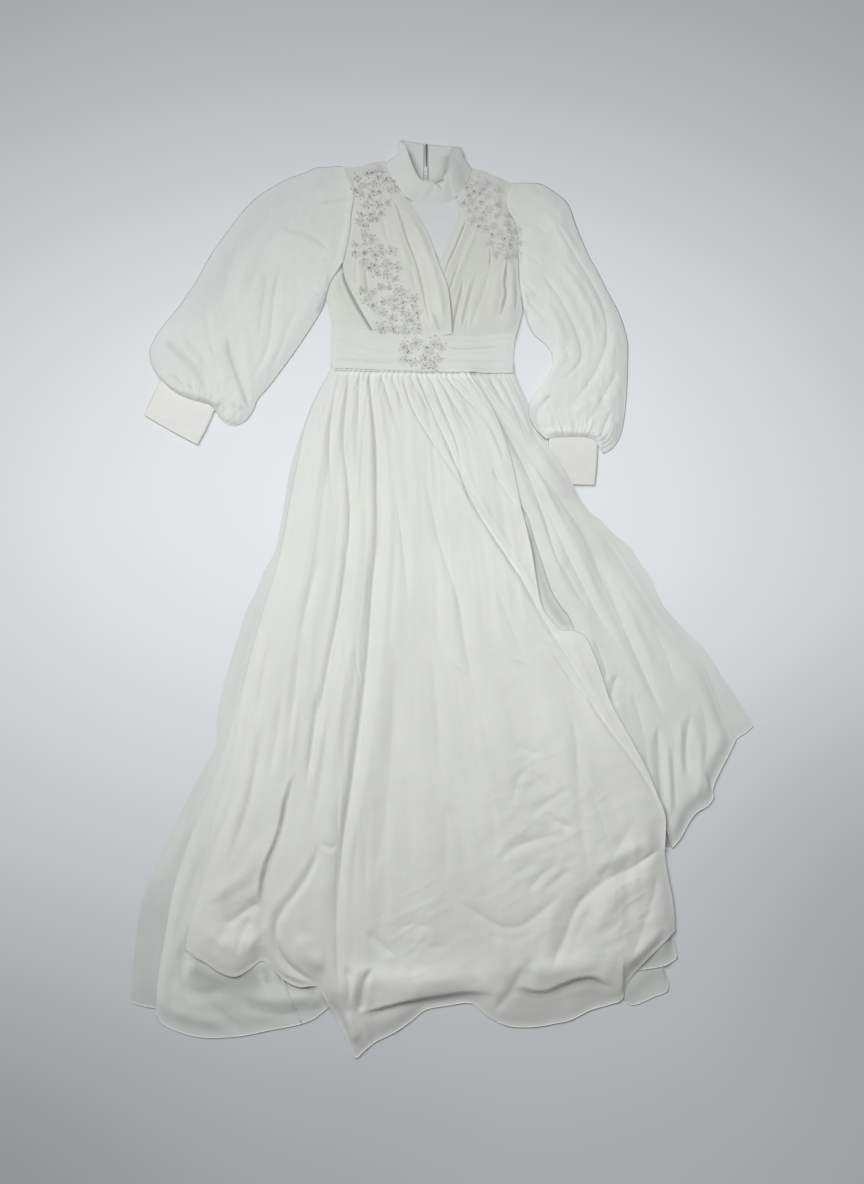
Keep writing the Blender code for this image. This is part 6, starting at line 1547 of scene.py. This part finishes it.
# ------------------------------------------------------------------ lace
# flowers: place in the photograph, petals, size mm, turn
FLOWERS = [
    (357, 176, 5, 8, 10), (367, 171, 6, 8, 40), (380, 168, 5, 9, 15), (363, 184, 6, 10, 70), (374, 182, 5, 10, 30), (386, 178, 6, 9, 5),
    (361, 193, 5, 7, 20), (390, 188, 5, 10, 50), (397, 186, 6, 8, 12),
    (366, 204, 6, 11, 33), (378, 203, 5, 11, 60), (371, 213, 5, 9, 14), (381, 212, 6, 8, 80), (359, 219, 5, 9, 8), (365, 224, 6, 9, 45), (370, 218, 5, 7, 0),
    (365, 234, 6, 9, 20), (372, 238, 5, 9, 65), (365, 242, 5, 7, 35),
    (355, 252, 5, 9, 10), (364, 261, 6, 10, 48), (371, 249, 5, 9, 22), (381, 250, 6, 12, 75), (391, 250, 5, 10, 15), (374, 264, 5, 11, 55),
    (387, 263, 6, 13, 5), (397, 266, 5, 10, 62), (386, 273, 5, 8, 12), (377, 272, 5, 7, 30),
    (381, 286, 6, 9, 20), (362, 291, 6, 9, 50), (366, 300, 5, 9, 10), (373, 291, 5, 7, 36), (373, 306, 6, 9, 70), (382, 311, 5, 9, 25),
    (388, 299, 6, 10, 44), (397, 290, 5, 10, 15), (403, 292, 6, 11, 60), (403, 301, 5, 9, 5), (395, 306, 5, 8, 52), (413, 297, 5, 9, 30),
    (407, 314, 6, 11, 12), (417, 312, 5, 10, 66), (392, 317, 6, 9, 28), (382, 327, 6, 12, 50), (404, 328, 6, 12, 8), (417, 326, 5, 11, 40),
    (393, 327, 5, 8, 0), (411, 320, 5, 7, 22),
    (467, 177, 6, 9, 10), (467, 186, 5, 10, 45), (464, 202, 6, 11, 5), (472, 200, 5, 8, 60), (478, 180, 5, 9, 32), (487, 181, 6, 10, 12),
    (498, 187, 5, 9, 54), (480, 192, 6, 8, 24), (488, 194, 5, 9, 70), (476, 207, 5, 7, 38), (473, 219, 6, 10, 15), (482, 217, 5, 9, 50),
    (489, 208, 6, 10, 0), (498, 203, 5, 9, 42), (497, 214, 6, 8, 66), (486, 227, 5, 10, 20), (494, 224, 6, 9, 35), (500, 232, 5, 10, 8),
    (507, 222, 5, 8, 58), (508, 212, 6, 8, 26), (490, 241, 6, 9, 12), (502, 245, 5, 11, 44), (511, 236, 5, 9, 72), (496, 252, 6, 9, 30),
    (507, 255, 5, 9, 5), (515, 252, 6, 9, 50), (519, 240, 5, 8, 18), (517, 228, 6, 8, 64),
    (404, 345, 6, 12, 15), (416, 341, 5, 12, 50), (427, 346, 5, 9, 30), (434, 341, 6, 10, 5), (441, 345, 5, 9, 62),
    (405, 358, 5, 12, 42), (413, 362, 6, 10, 10), (425, 356, 6, 11, 70), (424, 365, 5, 9, 25), (434, 366, 6, 10, 48), (438, 357, 5, 9, 12),
]


def build_lace():
    rs = np.random.RandomState(5)
    cords, beads = ({"lace_left": [], "lace_right": [], "lace_waist": []} for _ in range(2))
    soft = blur(pile, 1.0)

    def height(p):
        return sample(soft, np.atleast_2d(p))

    # painted reflections: how dark the darkest painted beads are on each piece of lace; glint picks a painted dark or
    # painted bright bead
    contrast = {"lace_left": 0.0, "lace_right": 0.52, "lace_waist": 0.02}

    def glint(key, dark):
        return contrast[key] + rs.uniform(0.0, 0.22) if rs.rand() < dark else rs.uniform(0.8, 1.0)

    def add_bead(key, p, r, shade, lift=0.0):
        z = float(height(p)[0]) + r * 0.55 + 0.0006 + lift
        beads[key].append((p[0], p[1], z, r, shade))

    # small sprays that fill the net between the flowers
    motifs = list(FLOWERS)
    for x, y, petals, size, turn in FLOWERS:
        for k in range(2):
            a, d = rs.uniform(0, 2 * math.pi), rs.uniform(7.5, 10.0)
            q = (x + d * math.cos(a), y + d * math.sin(a))
            close = sorted(math.hypot(q[0] - m[0], q[1] - m[1]) for m in FLOWERS)
            if all(math.hypot(q[0] - m[0], q[1] - m[1]) > 5.6 for m in motifs) and close[2] < 13.5 and abs(q[1] - 334) > 4 and q[1] < 367:
                motifs.append((q[0], q[1], 5, rs.uniform(5.5, 7.5), rs.uniform(0, 72)))
    for x, y, petals, size, turn in motifs:
        key = "lace_waist" if y > 334 else "lace_left" if x < 430 else "lace_right"
        c = np.array(at(x, y, 0.010))
        r = size * 0.00078
        a0 = math.radians(turn)
        for k in range(petals):
            a = a0 + 2 * math.pi * k / petals
            ax = np.array([math.cos(a), math.sin(a)])
            ay = np.array([-ax[1], ax[0]])
            t = np.linspace(0, 2 * math.pi, 15)
            w = r * math.sin(math.pi / petals) * 0.80
            px = c + np.outer(r * 0.55 - r * 0.42 * np.cos(t), ax) + np.outer(w * np.sin(t) * (0.75 + 0.25 * -np.cos(t)), ay)
            z = height(px) + 0.0004 + 0.0002 * np.sin(t)
            cords[key].append((np.column_stack([px, z]), 0.00026))
            # filling threads inside each petal
            for s in (-0.4, 0.0, 0.4):
                q = c + np.outer(np.linspace(0.25, 0.9, 4) * r, ax) + np.outer(np.linspace(0.1, s, 4) * w * 1.2, ay)
                cords[key].append((np.column_stack([q, height(q) + 0.0004]), 0.00016))
            # a ring of seed beads on the petal's edge
            for j in range(3):
                if rs.rand() < 0.85:
                    tt = math.pi * (0.6 + 0.4 * j) + rs.uniform(-0.25, 0.25)
                    p = c + ax * (r * 0.55 - r * 0.46 * math.cos(tt)) + ay * w * math.sin(tt)
                    add_bead(key, p, rs.uniform(0.0005, 0.0008), glint(key, 0.10))
        # centre: a sequin and a crown of beads
        add_bead(key, c, 0.0011, rs.choice([0.02, 0.98, 0.9]), 0.0003)
        for k in range(5):
            a = a0 + k * math.pi * 0.4
            p = c + 0.0026 * np.array([math.cos(a), math.sin(a)])
            add_bead(key, p, 0.0006, glint(key, 0.2), 0.0002)
        # loose beads and small leaves in the net around it
        for k in range(3):
            a, d = rs.uniform(0, 2 * math.pi), rs.uniform(0.85, 1.35) * r
            q = c + d * np.array([math.cos(a), math.sin(a)])
            add_bead(key, q, rs.uniform(0.0004, 0.0007), glint(key, 0.0))
        for k in range(3):
            a, d = rs.uniform(0, 2 * math.pi), rs.uniform(0.85, 1.2) * r
            q = c + d * np.array([math.cos(a), math.sin(a)])
            b = rs.uniform(0, 2 * math.pi)
            ax, ay = np.array([math.cos(b), math.sin(b)]), np.array([-math.sin(b), math.cos(b)])
            t = np.linspace(0, 2 * math.pi, 11)
            px = q + np.outer(0.0026 * np.cos(t), ax) + np.outer(0.0011 * np.sin(t), ay)
            cords[key].append((np.column_stack([px, height(px) + 0.0004]), 0.00026))
    # cut beads scattered over the whole of the lace, no two close together: first dark ones, painted as shaded holes
    # and dark reflections, then bright ones, painted glints
    for key in cords:
        mine = [m for m in motifs if ("lace_waist" if m[1] > 334 else "lace_left" if m[0] < 430 else "lace_right") == key]
        for gap, dark, low, high, tries in ((3.3, 1.0, 0.00050, 0.00100, 26), (2.2, 0.0, 0.00055, 0.00090, 18)):
            placed = []
            for mx, my, _, size, _ in mine:
                for k in range(tries):
                    a, d = rs.uniform(0, 2 * math.pi), math.sqrt(rs.rand()) * (2.2 + 0.46 * size)
                    q = (mx + d * math.cos(a), my + d * math.sin(a))
                    if all((q[0] - o[0]) ** 2 + (q[1] - o[1]) ** 2 > (gap * o[2]) ** 2 for o in placed):
                        placed.append((q[0], q[1], rs.uniform(0.8, 1.35)))
            for x, y, _ in placed:
                add_bead(key, np.array(at(x, y, 0.010)), rs.uniform(low, high), glint(key, dark), 0.0001)
    # stems and net threads between neighbouring flowers
    F = [(np.array(at(x, y, 0.010)), "lace_waist" if y > 334 else "lace_left" if x < 430 else "lace_right") for x, y, *_ in FLOWERS]
    for i in range(len(F)):
        for j in range(i + 1, len(F)):
            a, b = F[i][0], F[j][0]
            d = np.linalg.norm(a - b)
            if F[i][1] == F[j][1] and d < 0.026:
                t = np.linspace(0, 1, 7)[:, None]
                n = np.array([-(b - a)[1], (b - a)[0]]) * rs.uniform(-0.22, 0.22)
                q = a * (1 - t) + b * t + n * np.sin(np.pi * t)
                cords[F[i][1]].append((np.column_stack([q, height(q) + 0.0004]), 0.00028))
    # each bead is a low faceted dome
    lat = np.radians([38, -22])
    lon = np.linspace(0, 2 * np.pi, 6, endpoint=False)
    for key in cords:
        verts, faces, n = [], [], 0
        for path, rad in cords[key]:
            v, f, caps = tube(path, rad, 4 if rad > 0.0002 else 3)
            faces += (f + n).tolist()
            verts.append(v)
            n += len(v)
        ob = new_object("cord_" + key, np.vstack(verts), faces)
        tint(ob, np.ones(n))
        dress(ob, LACE, "lace", key)
        verts, faces, shade, n = [], [], [], 0
        for x, y, z, r, s in beads[key]:
            ring = []
            rows = [np.array([[0, 0, 1.0]])] + [np.column_stack([np.cos(lon) * math.cos(a), np.sin(lon) * math.cos(a), np.full(6, math.sin(a))]) for a in lat]
            pts = np.vstack(rows) * np.array([r, r, r * 0.72]) + np.array([x, y, z])
            verts.append(pts)
            k = np.arange(6)
            f = [[0, 1 + i, 1 + (i + 1) % 6] for i in k] + [[1 + i, 7 + i, 7 + (i + 1) % 6, 1 + (i + 1) % 6] for i in k]
            faces += [[q + n for q in ff] for ff in f]
            shade += [s] * 13
            n += 13
        ob = new_object("beads_" + key, np.vstack(verts), faces, smooth_it=False)
        tint(ob, shade, "shade")
        dress(ob, BEADS, "lace")


# ------------------------------------------------------------------ zip
def build_zip():
    """Coil along both open edges down to the slider, its tape under them."""
    paths = []
    for side, pts in ((-1, [(425.6, 143.5), (425.7, 152), (425.9, 161), (426.3, 168)]), (1, [(427.7, 144.2), (427.5, 152), (427.3, 161), (426.9, 168)])):
        c = px_line(pts, 420, 0.003)
        a = np.linspace(0, 2 * np.pi * 46, 420)
        paths.append(np.column_stack([c[:, 0] + 0.0004 * np.cos(a), c[:, 1], 0.0028 + 0.0004 * np.sin(a)]))
    ob = tube_object("coil_zip", paths, 0.00022, 5)
    ob.data.materials.append(COIL)
    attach(ob, BODY)
    # the closed part, under the bodice's centre seam, and its two open arms
    y = np.linspace(0.1645, 0.7070, 220)
    half = 0.0030
    g = np.stack([np.column_stack([np.full(220, -0.0165 + k * half), y]) for k in (-1, -0.4, 0, 0.4, 1)], axis=1)[::-1]
    z = np.full(g.shape[:2], 0.00045)
    z[:, 1:4] = 0.0008
    ob = sheet_mesh("cloth_zip_tape", g, z)
    dress(ob, TAPE, "zip_tape", "zip_tape")
    c = np.column_stack([np.full(1500, -0.0165), np.linspace(0.1645, 0.7070, 1500)])
    a = np.linspace(0, 2 * np.pi * 210, 1500)
    coil = tube_object("coil_zip_closed", [np.column_stack([c[:, 0] + 0.0009 * np.cos(a), c[:, 1], 0.0010 + 0.0004 * np.sin(a)])], 0.0002, 4)
    coil.data.materials.append(COIL)
    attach(coil, BODY)
    # dark tape arms in the open gap: partly the tape's colour, partly painted shade of the gap
    edge = [px_line([(425.9, 143.5), (426.0, 160), (426.2, 172)], 40, 0.0015), px_line([(427.5, 144.2), (427.2, 160), (427.0, 172)], 40, 0.0015)]
    g = np.stack([edge[0], 0.5 * (edge[0] + edge[1]), edge[1]], axis=1)
    z = np.full(g.shape[:2], 0.0012)
    z[:, 1] = 0.0009
    arms = sheet_mesh("cloth_zip_arms", g, z)
    dress(arms, TAPE_DARK_GAP_SHADE, "zip_tape")
    for n, mat in (("zip_slider", METAL), ("zip_pull", METAL)):
        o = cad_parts[n]
        o = o if hasattr(o, "data") else bpy.data.objects[o]
        o.data.materials.clear()
        o.data.materials.append(mat)


# ------------------------------------------------------------------ stage
def build_stage():
    me = bpy.data.meshes.new("floor")
    s = 3.0
    me.from_pydata([(-s, -s, -0.0003), (s, -s, -0.0003), (s, s, -0.0003), (-s, s, -0.0003)], [], [(0, 1, 2, 3)])
    floor = bpy.data.objects.new("floor", me)
    scene.collection.objects.link(floor)
    me.materials.append(floor_material())

    def lamp(name, kind, loc, target, power, colour, **more):
        d = bpy.data.lights.new(name, kind)
        d.energy = power
        d.color = colour
        for k, v in more.items():
            setattr(d, k, v)
        o = bpy.data.objects.new(name, d)
        o.location = loc
        o.rotation_euler = (Vector(target) - Vector(loc)).to_track_quat("-Z", "Y").to_euler()
        scene.collection.objects.link(o)
        return o

    # daylight from the upper left, a softbox above the middle, and a little room light
    lamp("window", "SUN", (-2.0, 1.9, 2.1), (0, 0, 0), SUN, (1.0, 0.995, 0.98), angle=math.radians(34))
    top = lamp("softbox", "AREA", (-0.10, 0.06, 0.95), (-0.10, 0.06, 0.0), TOP, (0.985, 0.99, 1.0), shape="RECTANGLE", size=1.7, size_y=0.95)
    top.visible_camera = False
    w = bpy.data.worlds.new("world")
    scene.world = w
    w.use_nodes = True
    bg = w.node_tree.nodes["Background"]
    bg.inputs["Color"].default_value = (0.93, 0.96, 1.0, 1)
    bg.inputs["Strength"].default_value = AMBIENT


SUN, TOP, AMBIENT = 1.24, 10.1, 0.085

make_camera()
build_stage()
build_cuff("cloth_cuff_right", CUFF_R, 61, "cuff_right", 0.09)
build_skirt()
bodice = build_bodice()
build_cuff("cloth_cuff_left", CUFF_L, 62, "cuff_left")
build_sleeve("cloth_sleeve_left", SLEEVE_L_OUT, SLEEVE_L_IN, ARM_L, SLEEVE_L_CUFF, SLEEVE_L_ROWS, SLEEVE_L_UP,
             [2.5, 4.0, 5.5, 6.5, 8, 8, 6], 71, "sleeve_left", band=[(292, 213), (262, 243), (238, 268), (215, 297), (190, 328)],
             painted_shade=SLEEVE_L_PAINTED_SHADE)
build_sleeve("cloth_sleeve_right", SLEEVE_R_OUT, SLEEVE_R_IN, ARM_R[:10], SLEEVE_R_CUFF, SLEEVE_R_ROWS, SLEEVE_R_UP,
             [2.5, 4.0, 5.5, 6.5, 8, 8, 6], 72, "sleeve_right", firm=0.37,
             painted_shade=SLEEVE_R_PAINTED_SHADE)
build_collar()
build_zip()
build_lace()
